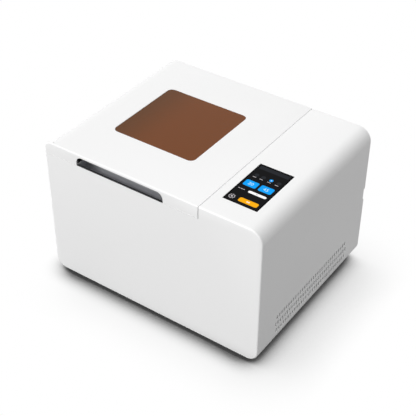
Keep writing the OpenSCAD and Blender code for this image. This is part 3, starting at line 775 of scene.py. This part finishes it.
class CURINGUNIT_OT_lid(bpy.types.Operator):
    """Forms the lid: shell, liner, seal, window retainer and magnet"""

    bl_idname = "curing_unit.lid"
    bl_label = "Lid"

    def execute(self, context):
        sizes = context.scene.curing_sizes
        black = moulded_plastic("moulded_abs_black", linear("1D1E20"), 0.48)
        folded(
            "lid_shell",
            "lid_sheet",
            bpy.data.materials["powder_coated_steel_white"],
            sizes.sheet_edge,
            sizes.seam_edge,
            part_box("lid_shell")[1].x,
        )
        formed("lid_liner", "lid_liner_sheet", bright_sheet("bright_rolled_steel"), 0.3)
        formed("lid_seal", "lid_seal_bead", rubber("epdm_seal", linear("54575A"), 1.2), 1.4, 4)
        formed("window_retainer", "window_retainer_frame", black, sizes.plastic_edge)
        formed("lid_magnet", "lid_magnet_disc", spring_steel("nickel_plated_steel"), 0.3)
        return {"FINISHED"}


class CURINGUNIT_OT_painted_light_and_shade(bpy.types.Operator):
    """Adds painted shade and painted light round the finger recess and the lid's seams: black blocks
    and strips where shade falls, white strips that lighten the seams and mark highlights
    """

    bl_idname = "curing_unit.trims"
    bl_label = "Painted Light and Shade"

    def execute(self, context):
        # Black for the painted shade in the notch and the front seam; the feet use it too
        black = rubber("moulded_rubber", linear("2A2B2C"), 1.0)
        # White for the painted light in the seams and the painted highlight at the recess ends
        white = rubber("painted_light_white", linear("EDEDED"), 1.0)
        left, _, _, right, back, recess_top = millimetres("finger_recess")
        lid_left, _, _, seam, lid_back, top = millimetres("lid_shell")
        front = millimetres("front_panel")[1]
        # The front sheet's upper edge, which the lid's skirt comes down to
        sill = recess_top - 6
        seam_x = (seam + 0.05, seam + SEAM_GAP + 0.4)
        end_shade_yz = (front + 4, front + 25, sill - 7.7, sill - 0.6)
        cheek_yz = (front + 2.4, back - 0.3, sill - 0.3, sill + 0.12)
        sill_yz = (front + 0.5, front + 1.6, sill - 0.4, sill + 0.48)
        for name, material, rounding, boxes in (
            # Painted shade: black blocks beside both ends of the finger recess, under the lid, stand in
            # for the shade at the notch's ends
            ("notch_end_painted_shade_blocks", black, 0.8, [
                (left - 13.5, left - 0.5, *end_shade_yz),
                (right + 0.5, right + 13.5, *end_shade_yz),
            ]),
            # Painted shade: a black strip along the recess's front lip darkens the lower edge of the
            # notch
            ("recess_sill_painted_shade_strip", black, 0.1, [
                (left + 2.6, right - 2.6, front + 0.5, front + 3.9, sill - 0.4, sill + 0.2),
            ]),
            # Painted highlight: white strips on the tops of the recess's end walls make the light lines
            # at the notch's ends
            ("recess_cheek_painted_highlight_strips", white, 0.05, [
                (left + 0.3, left + 2.0, *cheek_yz),
                (right - 2.0, right - 0.3, *cheek_yz),
            ]),
            # Painted light: white strips in the gap between the lid's skirt and the front sheet take
            # away the seam's shade line
            ("lid_sill_painted_light_strips", white, 0.1, [
                (lid_left + 4, left + 2.4, *sill_yz),
                (right - 2.4, seam - 0.3, *sill_yz),
            ]),
            # Painted light: a white strip down in the top seam lightens the seam's shade
            ("seam_top_painted_light_strip", white, 0.1, [(*seam_x, front + 3, lid_back - 3, top - 3, top - 0.9)]),
            # Painted shade: a black strip near the surface of the front seam darkens it
            ("seam_front_painted_shade_strip", black, 0.1, [(*seam_x, front + 0.5, front + 2.2, sill, top - 3)]),
        ):
            bm = bmesh.new()
            for x0, x1, y0, y1, z0, z1 in boxes:
                middle = Vector((x0 + x1, y0 + y1, z0 + z1)) * MM / 2
                block(bm, middle, Vector((x1 - x0, y1 - y0, z1 - z0)) * MM)
            piece = finish_object(name, bm, material, rounding)
            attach(piece, "housing")
        return {"FINISHED"}


class CURINGUNIT_OT_window(bpy.types.Operator):
    """Makes the amber window pane"""

    bl_idname = "curing_unit.window"
    bl_label = "Window"

    def execute(self, context):
        colour = list(context.scene.curing_colours.window)
        acrylic = cast_acrylic("cast_amber_acrylic", colour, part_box("lid_window")[0], 75)
        formed("lid_window", "window_pane", acrylic, 0.2)
        return {"FINISHED"}


class CURINGUNIT_OT_chamber(bpy.types.Operator):
    """Forms the chamber's reflector, light boards and heat sinks"""

    bl_idname = "curing_unit.chamber"
    bl_label = "Chamber"

    def execute(self, context):
        sizes = context.scene.curing_sizes
        board = solder_mask("white_solder_mask", "E8EBE7", "DDE1DC")
        sink = extruded_aluminium("extruded_aluminium")
        edge = sizes.machined_edge
        formed("chamber_liner", "chamber_reflector", bpy.data.materials["bright_rolled_steel"], 0.3)
        for side in SIDES:
            formed("light_board_" + side, side + "_light_board", board, edge)
            formed("heat_sink_" + side, side + "_heat_sink", sink, edge)
        return {"FINISHED"}


class CURINGUNIT_OT_emitters(bpy.types.Operator):
    """Makes the domed light emitters on their boards"""

    bl_idname = "curing_unit.emitters"
    bl_label = "Emitters"

    def execute(self, context):
        lens = silicone_lens("silicone_lens")
        body = moulded_plastic("white_ppa_package", linear("E9E9E4"), 0.4, size=0.5, height=0.005)
        middle = (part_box("chamber_liner")[0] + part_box("chamber_liner")[1]) / 2
        for side in SIDES:
            cad = "emitters_" + side
            package = bmesh.new()
            dome = bmesh.new()
            for low, high in islands(cad):
                size = high - low
                axis = 0 if size.x < size.y else 1
                inward = Vector((0, 0, 0))
                inward[axis] = math.copysign(1, middle[axis] - low[axis])
                root = (low + high) / 2 - inward * size[axis] / 2
                matrix = Matrix.Translation(root) @ turned_to(inward)
                width = size.z
                base = bmesh.new()
                tile(base, (0, 0), (width, width), 0.5 * MM, 0, 1.4 * MM, segments=2)
                press(package, base, matrix)
                radius = width / MM * 0.36
                curve = ((1, 1.2), (0.92, 1.5), (0.65, 1.75), (0.3, 1.87), (0, 1.9))
                cap = bmesh.new()
                lathe(cap, [(radius * share, height) for share, height in curve], steps=12)
                press(dome, cap, matrix)
            belongs(finish_object(side + "_emitter_packages", package, body), cad)
            belongs(finish_object(side + "_emitter_lenses", dome, lens), cad, stands_for=False)
        return {"FINISHED"}


class CURINGUNIT_OT_turntable(bpy.types.Operator):
    """Forms the perforated turntable, its hub, shaft and motor"""

    bl_idname = "curing_unit.turntable"
    bl_label = "Turntable"

    def execute(self, context):
        sizes = context.scene.curing_sizes
        steel = bpy.data.materials["nickel_plated_steel"]
        black = bpy.data.materials["moulded_abs_black"]
        zinc = zinc_plated("zinc_plated_steel")
        edge = sizes.machined_edge
        bright = bpy.data.materials["bright_rolled_steel"]
        formed("turntable_plate", "turntable_disc", bright, edge)
        formed("turntable_hub", "turntable_boss", black, sizes.plastic_edge)
        formed("motor_shaft", "motor_spindle", steel, edge)
        formed("turntable_motor", "motor_case", zinc, 0.6)
        formed("motor_bracket", "motor_strap", zinc, edge)
        return {"FINISHED"}


class CURINGUNIT_OT_screen(bpy.types.Operator):
    """Makes the screen glass and what it shows: plain tiles, bars and numbers"""

    bl_idname = "curing_unit.screen"
    bl_label = "Screen"

    def execute(self, context):
        colours = context.scene.curing_colours
        formed("screen_glass", "screen_cover_glass", printed_glass("black_printed_glass"), 0.15)
        blue = lit_pixels("lit_blue", list(colours.tiles))
        orange = lit_pixels("lit_orange", list(colours.button))
        white = lit_pixels("lit_white", linear("FFFFFF"))
        page = lit_pixels("lit_page", linear("161617"))
        dim = lit_pixels("lit_dark_grey", linear("27292D"))
        grey = lit_pixels("lit_grey", linear("BDB8BB"))
        pale = lit_pixels("lit_pale_blue", linear("C4ECF8"))
        low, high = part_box("screen_glass")
        width = high.x - low.x
        length = high.y - low.y
        top = high.z
        # Each lit shape starts inside the glass and stands out of it by one layer or more
        sunk = 0.1 * MM
        lift = 0.03 * MM
        icons_v = 0.272
        chosen_u = 0.61
        wheel_u, wheel_v = 0.155, 0.89

        def spot(u, v):
            """A point of the screen from its rear left corner, as shares of its sides."""
            return low.x + u * width, high.y - v * length

        def area(bm, u0, v0, u1, v1, radius, layer=1):
            """A lit rectangle with rounded corners; higher layers lie on lower ones."""
            centre = spot((u0 + u1) / 2, (v0 + v1) / 2)
            size = ((u1 - u0) * width, (v1 - v0) * length)
            tile(bm, centre, size, radius * MM, top - sunk, sunk + layer * lift)

        def dot(bm, u, v, share, layer=1, segments=32):
            """A lit disc, with its radius as a share of the screen's width."""
            disc(bm, spot(u, v), share * width, top - sunk, sunk + layer * lift, segments)

        def shown(name, bm, material):
            """Finishes one colour of the picture as its own piece on the glass."""
            belongs(finish_object(name, bm, material), "screen_glass", stands_for=False)

        sheet = bmesh.new()
        area(sheet, 0.04, 0.02, 0.96, 0.98, 0.4, layer=0.5)
        shown("screen_page", sheet, page)

        tiles = bmesh.new()
        area(tiles, 0.085, 0.428, 0.455, 0.572, 2.4)
        area(tiles, 0.525, 0.428, 0.895, 0.572, 2.4)
        dot(tiles, chosen_u, icons_v, 0.052)
        shown("screen_blue_tiles", tiles, blue)

        button = bmesh.new()
        area(button, 0.355, 0.838, 0.895, 0.932, 2.6)
        shown("screen_orange_button", button, orange)

        faint = bmesh.new()
        for u in (0.185, 0.385, 0.835):
            dot(faint, u, icons_v, 0.062)
        area(faint, 0.07, 0.04, 0.93, 0.115, 0.6)
        shown("screen_faint_icons", faint, dim)

        light = bmesh.new()
        area(light, 0.38, 0.642, 0.895, 0.692, 2.5)
        for u in (0.575, 0.625):
            area(light, u, 0.874, u + 0.035, 0.896, 0.2, layer=2)
        dot(light, chosen_u, icons_v, 0.014, layer=2)
        shown("screen_white_marks", light, white)

        words = bmesh.new()
        for u in (0.175, 0.375, 0.60, 0.82):
            area(words, u - 0.05, 0.323, u + 0.05, 0.334, 0.3)
        for u, length_u in ((0.085, 0.055), (0.155, 0.06), (0.23, 0.045)):
            area(words, u, 0.661, u + length_u, 0.673, 0.3)
        rim = 0.078
        for turn in range(8):
            angle = turn * math.pi / 4
            u = wheel_u + rim * math.cos(angle)
            v = wheel_v + rim * width / length * math.sin(angle)
            dot(words, u, v, 0.014, segments=8)
        dot(words, wheel_u, wheel_v, rim)
        shown("screen_grey_words", words, grey)

        dark = bmesh.new()
        dot(dark, wheel_u, wheel_v, 0.064, layer=2)
        area(dark, 0.60, 0.662, 0.66, 0.67, 0.2, layer=2)
        shown("screen_dark_marks", dark, dim)

        hub = bmesh.new()
        dot(hub, wheel_u, wheel_v, 0.03, layer=3, segments=16)
        shown("screen_wheel_hub", hub, grey)

        digits = bmesh.new()
        thick = 0.02 * MM
        for text, u in (("20", 0.265), ("45", 0.705)):
            curve = bpy.data.curves.new("numbers", "FONT")
            curve.body = text
            curve.size = 8.4 * MM
            curve.align_x = "CENTER"
            curve.align_y = "CENTER"
            curve.extrude = thick
            letter = bpy.data.objects.new("numbers", curve)
            bpy.context.scene.collection.objects.link(letter)
            graph = bpy.context.evaluated_depsgraph_get()
            outline = bpy.data.meshes.new_from_object(letter.evaluated_get(graph))
            bpy.data.objects.remove(letter)
            x, y = spot(u, 0.5025)
            stamp(digits, outline, Matrix.Translation((x, y, top + lift + thick)))
        bmesh.ops.remove_doubles(digits, verts=digits.verts, dist=1e-7)
        shown("screen_numbers", digits, pale)
        return {"FINISHED"}


class CURINGUNIT_OT_electronics(bpy.types.Operator):
    """Forms the boards, the power supply and the parts of the control section"""

    bl_idname = "curing_unit.electronics"
    bl_label = "Electronics"

    def execute(self, context):
        edge = context.scene.curing_sizes.machined_edge
        green = solder_mask("green_solder_mask", "1F5A3A", "2C7A4E")
        zinc = bpy.data.materials["zinc_plated_steel"]
        black = bpy.data.materials["moulded_abs_black"]
        for cad in ("control_board", "driver_board"):
            formed(cad, cad + "_assembly", green, edge)
        formed("board_standoffs", "hexagon_standoffs", turned_brass("turned_brass"), edge)
        formed("ribbon_cable", "display_ribbon", flat_ribbon("grey_pvc_ribbon"), 0.1)
        formed("display_module", "display_panel", black, edge)
        formed("display_bracket", "display_tray", zinc, edge)
        formed("power_supply", "power_supply_cage", zinc, edge)
        formed("lid_switch", "reed_switch", black, edge)
        return {"FINISHED"}


class CURINGUNIT_OT_fans(bpy.types.Operator):
    """Makes the fan frames and their twisted blades"""

    bl_idname = "curing_unit.fans"
    bl_label = "Fans"

    def execute(self, context):
        black = bpy.data.materials["moulded_abs_black"]
        blades = 7
        for fan in ("chamber", "exhaust"):
            frame_node = fan + "_fan_frame"
            cad = fan + "_fan_impeller"
            formed(frame_node, fan + "_fan_housing", black, 0.4)
            low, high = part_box(cad)
            frame_low, frame_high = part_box(frame_node)
            centre = (frame_low + frame_high) / 2
            seat = Vector((centre.x, frame_high.y, centre.z))
            tip = (high.x - low.x) / 2 / MM
            rotor = bmesh.new()
            lathe(
                rotor,
                [(0, 1.0), (13.2, 1.0), (14, 1.8), (14, 10.5), (12.4, 10.5), (12.4, 2.2),
                 (1.5, 2.2), (1.5, 13.6), (0, 13.6)],
                steps=48,
            )
            blade = bmesh.new()
            bmesh.ops.create_grid(blade, x_segments=8, y_segments=5, size=0.5)
            for vert in blade.verts:
                out, chord = vert.co.x + 0.5, vert.co.y
                radius = 13.4 + out * (tip - 13.7)
                sweep = math.radians(30 + 6 * out) * chord + math.radians(7) * out
                rise = 5.75 + chord * (7.4 - 1.2 * out) + 0.9 * (0.25 - chord * chord)
                vert.co = Vector((radius * math.cos(sweep), radius * math.sin(sweep), rise)) * MM
            bmesh.ops.solidify(blade, geom=blade.faces[:], thickness=1.1 * MM)
            bmesh.ops.recalc_face_normals(blade, faces=blade.faces)
            blade_mesh = as_mesh(blade)
            for i in range(blades):
                stamp(rotor, blade_mesh, Matrix.Rotation(i * 2 * math.pi / blades, 4, "Z"))
            bpy.data.meshes.remove(blade_mesh)
            inward = Matrix.Rotation(math.pi / 2, 4, "X")
            bmesh.ops.transform(
                rotor, matrix=Matrix.Translation(seat) @ inward, verts=rotor.verts
            )
            belongs(finish_object(fan + "_fan_rotor", rotor, black, 0.2), cad)
        return {"FINISHED"}


class CURINGUNIT_OT_power(bpy.types.Operator):
    """Makes the power inlet and the mains switch with its marks"""

    bl_idname = "curing_unit.power"
    bl_label = "Power inlet and switch"

    def execute(self, context):
        black = bpy.data.materials["moulded_abs_black"]
        brass = bpy.data.materials["turned_brass"]
        paint = new_finish("pad_printed_ink", linear("E8E8E8"), 0.5)[0]
        formed("power_inlet", "inlet_body", black, 0.5, 3)
        formed("inlet_pins", "inlet_contact_pins", brass, 0.4, 3)
        formed("switch_housing", "switch_bezel", black, 0.3)
        formed("rocker_button", "rocker_key", black, 0.4, 3)
        bm = merged_copy("rocker_button")
        faces = sorted(
            (f for f in bm.faces if f.normal.y > 0.8), key=lambda f: -f.calc_area()
        )[:2]
        faces.sort(key=lambda f: f.calc_center_median().z)
        marks = bmesh.new()
        for face, shape in zip(faces, ("ring", "bar")):
            matrix = Matrix.Translation(face.calc_center_bounds()) @ turned_to(face.normal)
            ink = bmesh.new()
            if shape == "ring":
                lathe(ink, [(1.1, -0.02), (1.1, 0.03), (1.45, 0.03), (1.45, -0.02), (1.1, -0.02)])
            else:
                tile(ink, (0, 0), (0.45 * MM, 2.9 * MM), 0.1 * MM, -0.02 * MM, 0.05 * MM, 2)
            press(marks, ink, matrix)
        bm.free()
        belongs(finish_object("rocker_marks", marks, paint), "rocker_button", stands_for=False)
        return {"FINISHED"}


class CURINGUNIT_OT_hinges(bpy.types.Operator):
    """Forms the hinge leaves and pins, with the screws that hold the outer leaves"""

    bl_idname = "curing_unit.hinges"
    bl_label = "Hinges"

    def execute(self, context):
        zinc = bpy.data.materials["zinc_plated_steel"]
        steel = bpy.data.materials["nickel_plated_steel"]
        formed("hinge_housing_leaves", "outer_hinge_leaves", zinc, 0.3)
        formed("hinge_lid_leaves", "inner_hinge_leaves", zinc, 0.3)
        formed("hinge_pins", "hinge_pin_rods", steel, 0.3)
        heads = bmesh.new()
        head = screw_mesh(radius=2.6, height=1.0, shank=1.4, length=1.5)
        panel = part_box("rear_panel")[1].y
        for low, high in islands("hinge_housing_leaves"):
            for share in (0.18, 0.5, 0.82):
                x = low.x + share * (high.x - low.x)
                place = Vector((x, panel + 2 * MM, low.z + 8 * MM))
                stamp(heads, head, Matrix.Translation(place) @ turned_to((0, 1, 0)))
        piece = finish_object("hinge_leaf_screws", heads, steel)
        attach(piece, "housing")
        return {"FINISHED"}


class CURINGUNIT_OT_screws(bpy.types.Operator):
    """Makes the pan-head screws of the rear, the base and the fans"""

    bl_idname = "curing_unit.screws"
    bl_label = "Screws"

    def execute(self, context):
        steel = bpy.data.materials["nickel_plated_steel"]
        for cad, outward in (
            ("rear_screws", Vector((0, 1, 0))),
            ("fan_screws", Vector((0, 1, 0))),
            ("base_screws", Vector((0, 0, -1))),
        ):
            axis = 1 if outward.y else 2
            made = {}
            bm = bmesh.new()
            for low, high in islands(cad):
                radius = round((high.x - low.x) / 2 / MM, 2)
                total = round((high[axis] - low[axis]) / MM, 2)
                head = 0.8 if radius < 3 else (1.8 if axis == 1 else 1.6)
                key = (radius, total)
                if key not in made:
                    shank = 2.0 if axis == 2 else 1.6
                    made[key] = screw_mesh(radius, head, shank, total - head)
                place = (low + high) / 2
                place[axis] = high.y - head * MM if axis == 1 else low.z + head * MM
                stamp(bm, made[key], Matrix.Translation(place) @ turned_to(outward))
            belongs(finish_object(cad + "_pan_head", bm, steel), cad)
        return {"FINISHED"}


class CURINGUNIT_OT_feet(bpy.types.Operator):
    """Turns the four rubber feet"""

    bl_idname = "curing_unit.feet"
    bl_label = "Feet"

    def execute(self, context):
        black = bpy.data.materials["moulded_rubber"]
        for place in ("front_left", "front_right", "rear_left", "rear_right"):
            cad = "foot_" + place
            low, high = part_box(cad)
            radius = (high.x - low.x) / 2 / MM
            height = (high.z - low.z) / MM
            bm = bmesh.new()
            lathe(
                bm,
                [(2.1, height), (radius - 0.5, height), (radius, height - 0.5),
                 (radius - 0.3, height - 2.2), (radius - 0.8, height - 2.6),
                 (radius - 0.6, height - 3.0), (radius - 1.4, 1.6), (radius - 1.8, 0.6),
                 (radius - 2.8, 0), (5.2, 0), (4.6, 0.4), (3.6, 1.0), (3.6, height - 3.6),
                 (2.1, height - 3.6), (2.1, height)],
                steps=48,
            )
            centre = (low + high) / 2
            bmesh.ops.translate(bm, vec=(centre.x, centre.y, low.z), verts=bm.verts)
            belongs(finish_object(place + "_rubber_foot", bm, black), cad)
        return {"FINISHED"}


def shown_rays(tree):
    """1 for the rays that show the background: from the camera, off gloss and through glass."""
    path = add_node(tree, "ShaderNodeLightPath").outputs
    shown = path["Is Camera Ray"]
    for ray in ("Is Glossy Ray", "Is Transmission Ray"):
        either = add_node(tree, "ShaderNodeMath", {0: shown, 1: path[ray]}, operation="MAXIMUM")
        shown = either.outputs["Value"]
    return shown


def white_paper(name):
    """Seamless white paper: it shows as pure white, with the unit's shadow, to the rays that see it."""
    material = bpy.data.materials.new(name)
    material.use_nodes = True
    tree = material.node_tree
    tree.nodes.clear()
    # What stands on the paper hides the light: a narrow contact shadow, and a wide soft one on
    # the side away from the lamp. Each looks for cover within its reach, leaning one way.
    shade = 0.0
    for reach, leaning, power, depth in (
        (35, (0.18, 0.38, 0.91), 2.0, 2.52),
        (100, (-0.89, 0.16, 0.42), 1.5, 0.64),
    ):
        lean = add_node(tree, "ShaderNodeCombineXYZ", dict(zip("XYZ", leaning)))
        cover = add_node(
            tree,
            "ShaderNodeAmbientOcclusion",
            {"Distance": reach * MM, "Normal": lean.outputs["Vector"]},
            samples=16,
        )
        hidden = add_node(
            tree, "ShaderNodeMath", {0: 1.0, 1: cover.outputs["AO"]}, operation="SUBTRACT"
        )
        fading = add_node(
            tree, "ShaderNodeMath", {0: hidden.outputs["Value"], 1: power}, operation="POWER"
        )
        both = add_node(
            tree,
            "ShaderNodeMath",
            {0: fading.outputs["Value"], 1: depth, 2: shade},
            operation="MULTIPLY_ADD",
        )
        shade = both.outputs["Value"]
    darkest = add_node(tree, "ShaderNodeMath", {0: shade, 1: 0.95}, operation="MINIMUM")
    white = add_node(
        tree, "ShaderNodeMath", {0: 1.0, 1: darkest.outputs["Value"]}, operation="SUBTRACT"
    ).outputs["Value"]
    # Other rays meet a far darker paper, so that it hardly lights the unit from below
    unlit = add_node(tree, "ShaderNodeEmission", {"Color": (1, 1, 1, 1), "Strength": 0.1})
    lit = add_node(tree, "ShaderNodeEmission", {"Color": (1, 1, 1, 1), "Strength": white})
    either = add_node(
        tree,
        "ShaderNodeMixShader",
        {0: shown_rays(tree), 1: unlit.outputs["Emission"], 2: lit.outputs["Emission"]},
    )
    add_node(tree, "ShaderNodeOutputMaterial", {"Surface": either.outputs["Shader"]})
    return material


class CURINGUNIT_OT_stage(bpy.types.Operator):
    """Sets up the pale floor, the soft light and the camera"""

    bl_idname = "curing_unit.stage"
    bl_label = "Stage"

    def execute(self, context):
        scene = context.scene
        stage = scene.curing_stage
        scene.view_settings.view_transform = "Standard"

        bm = bmesh.new()
        bmesh.ops.create_grid(bm, x_segments=1, y_segments=1, size=40.0)
        mesh = as_mesh(bm, "floor")
        mesh.materials.append(white_paper("white_paper"))
        floor = bpy.data.objects.new("floor", mesh)
        scene.collection.objects.link(floor)

        world = bpy.data.worlds.new("studio")
        scene.world = world
        world.use_nodes = True
        tree = world.node_tree
        tree.nodes.clear()
        shown = shown_rays(tree)
        strength = add_node(
            tree, "ShaderNodeMapRange", {"Value": shown, "To Min": stage.sky, "To Max": 1.0}
        )
        white = add_node(
            tree,
            "ShaderNodeBackground",
            {"Color": (1, 1, 1, 1), "Strength": strength.outputs["Result"]},
        )
        add_node(tree, "ShaderNodeOutputWorld", {"Surface": white.outputs["Background"]})

        for name, power, spread, direction in (
            ("front_softbox", stage.front, 30, (-0.35, -0.82, 0.45)),
            ("top_softbox", stage.top, 60, (-0.42, -0.2, 0.88)),
        ):
            lamp = bpy.data.lights.new(name, "SUN")
            lamp.energy = power
            lamp.angle = math.radians(spread)
            softbox = bpy.data.objects.new(name, lamp)
            scene.collection.objects.link(softbox)
            softbox.rotation_euler = turned_to(direction).to_euler()

        lens = bpy.data.cameras.new("camera")
        lens.lens = stage.lens
        lens.sensor_width = 36.0
        lens.clip_start = 0.01
        camera = bpy.data.objects.new("camera", lens)
        scene.collection.objects.link(camera)
        aim = (
            Matrix.Rotation(stage.azimuth, 4, "Z")
            @ Matrix.Rotation(math.pi / 2 - stage.elevation, 4, "X")
            @ Matrix.Rotation(stage.roll, 4, "Z")
        )
        camera.matrix_world = Matrix.Translation(stage.place) @ aim
        scene.camera = camera
        return {"FINISHED"}


OPERATORS = (
    CURINGUNIT_OT_stage,
    CURINGUNIT_OT_casing,
    CURINGUNIT_OT_lid,
    CURINGUNIT_OT_painted_light_and_shade,
    CURINGUNIT_OT_window,
    CURINGUNIT_OT_chamber,
    CURINGUNIT_OT_emitters,
    CURINGUNIT_OT_turntable,
    CURINGUNIT_OT_screen,
    CURINGUNIT_OT_electronics,
    CURINGUNIT_OT_fans,
    CURINGUNIT_OT_power,
    CURINGUNIT_OT_hinges,
    CURINGUNIT_OT_screws,
    CURINGUNIT_OT_feet,
)
GROUPS = {
    "curing_colours": CuringUnitColours,
    "curing_sizes": CuringUnitSizes,
    "curing_stage": CuringUnitStage,
}


class CURINGUNIT_PT_build(bpy.types.Panel):
    """Lists the unit's pieces and settings"""

    bl_idname = "CURINGUNIT_PT_build"
    bl_label = "Curing Unit"
    bl_space_type = "VIEW_3D"
    bl_region_type = "UI"
    bl_category = "Curing Unit"

    def draw(self, context):
        for name in GROUPS:
            settings = getattr(context.scene, name)
            for field in settings.bl_rna.properties:
                if field.identifier not in {"rna_type", "name"}:
                    self.layout.prop(settings, field.identifier)
        for operator in OPERATORS:
            self.layout.operator(operator.bl_idname)


def register():
    for group in GROUPS.values():
        bpy.utils.register_class(group)
    for name, group in GROUPS.items():
        setattr(bpy.types.Scene, name, PointerProperty(type=group))
    for operator in OPERATORS:
        bpy.utils.register_class(operator)
    bpy.utils.register_class(CURINGUNIT_PT_build)


def unregister():
    bpy.utils.unregister_class(CURINGUNIT_PT_build)
    for operator in reversed(OPERATORS):
        bpy.utils.unregister_class(operator)
    for name, group in GROUPS.items():
        delattr(bpy.types.Scene, name)
        bpy.utils.unregister_class(group)


def main():
    """Builds every piece in order."""
    register()
    for operator in OPERATORS:
        family, piece = operator.bl_idname.split(".")
        getattr(getattr(bpy.ops, family), piece)()


if __name__ == "__main__":
    main()
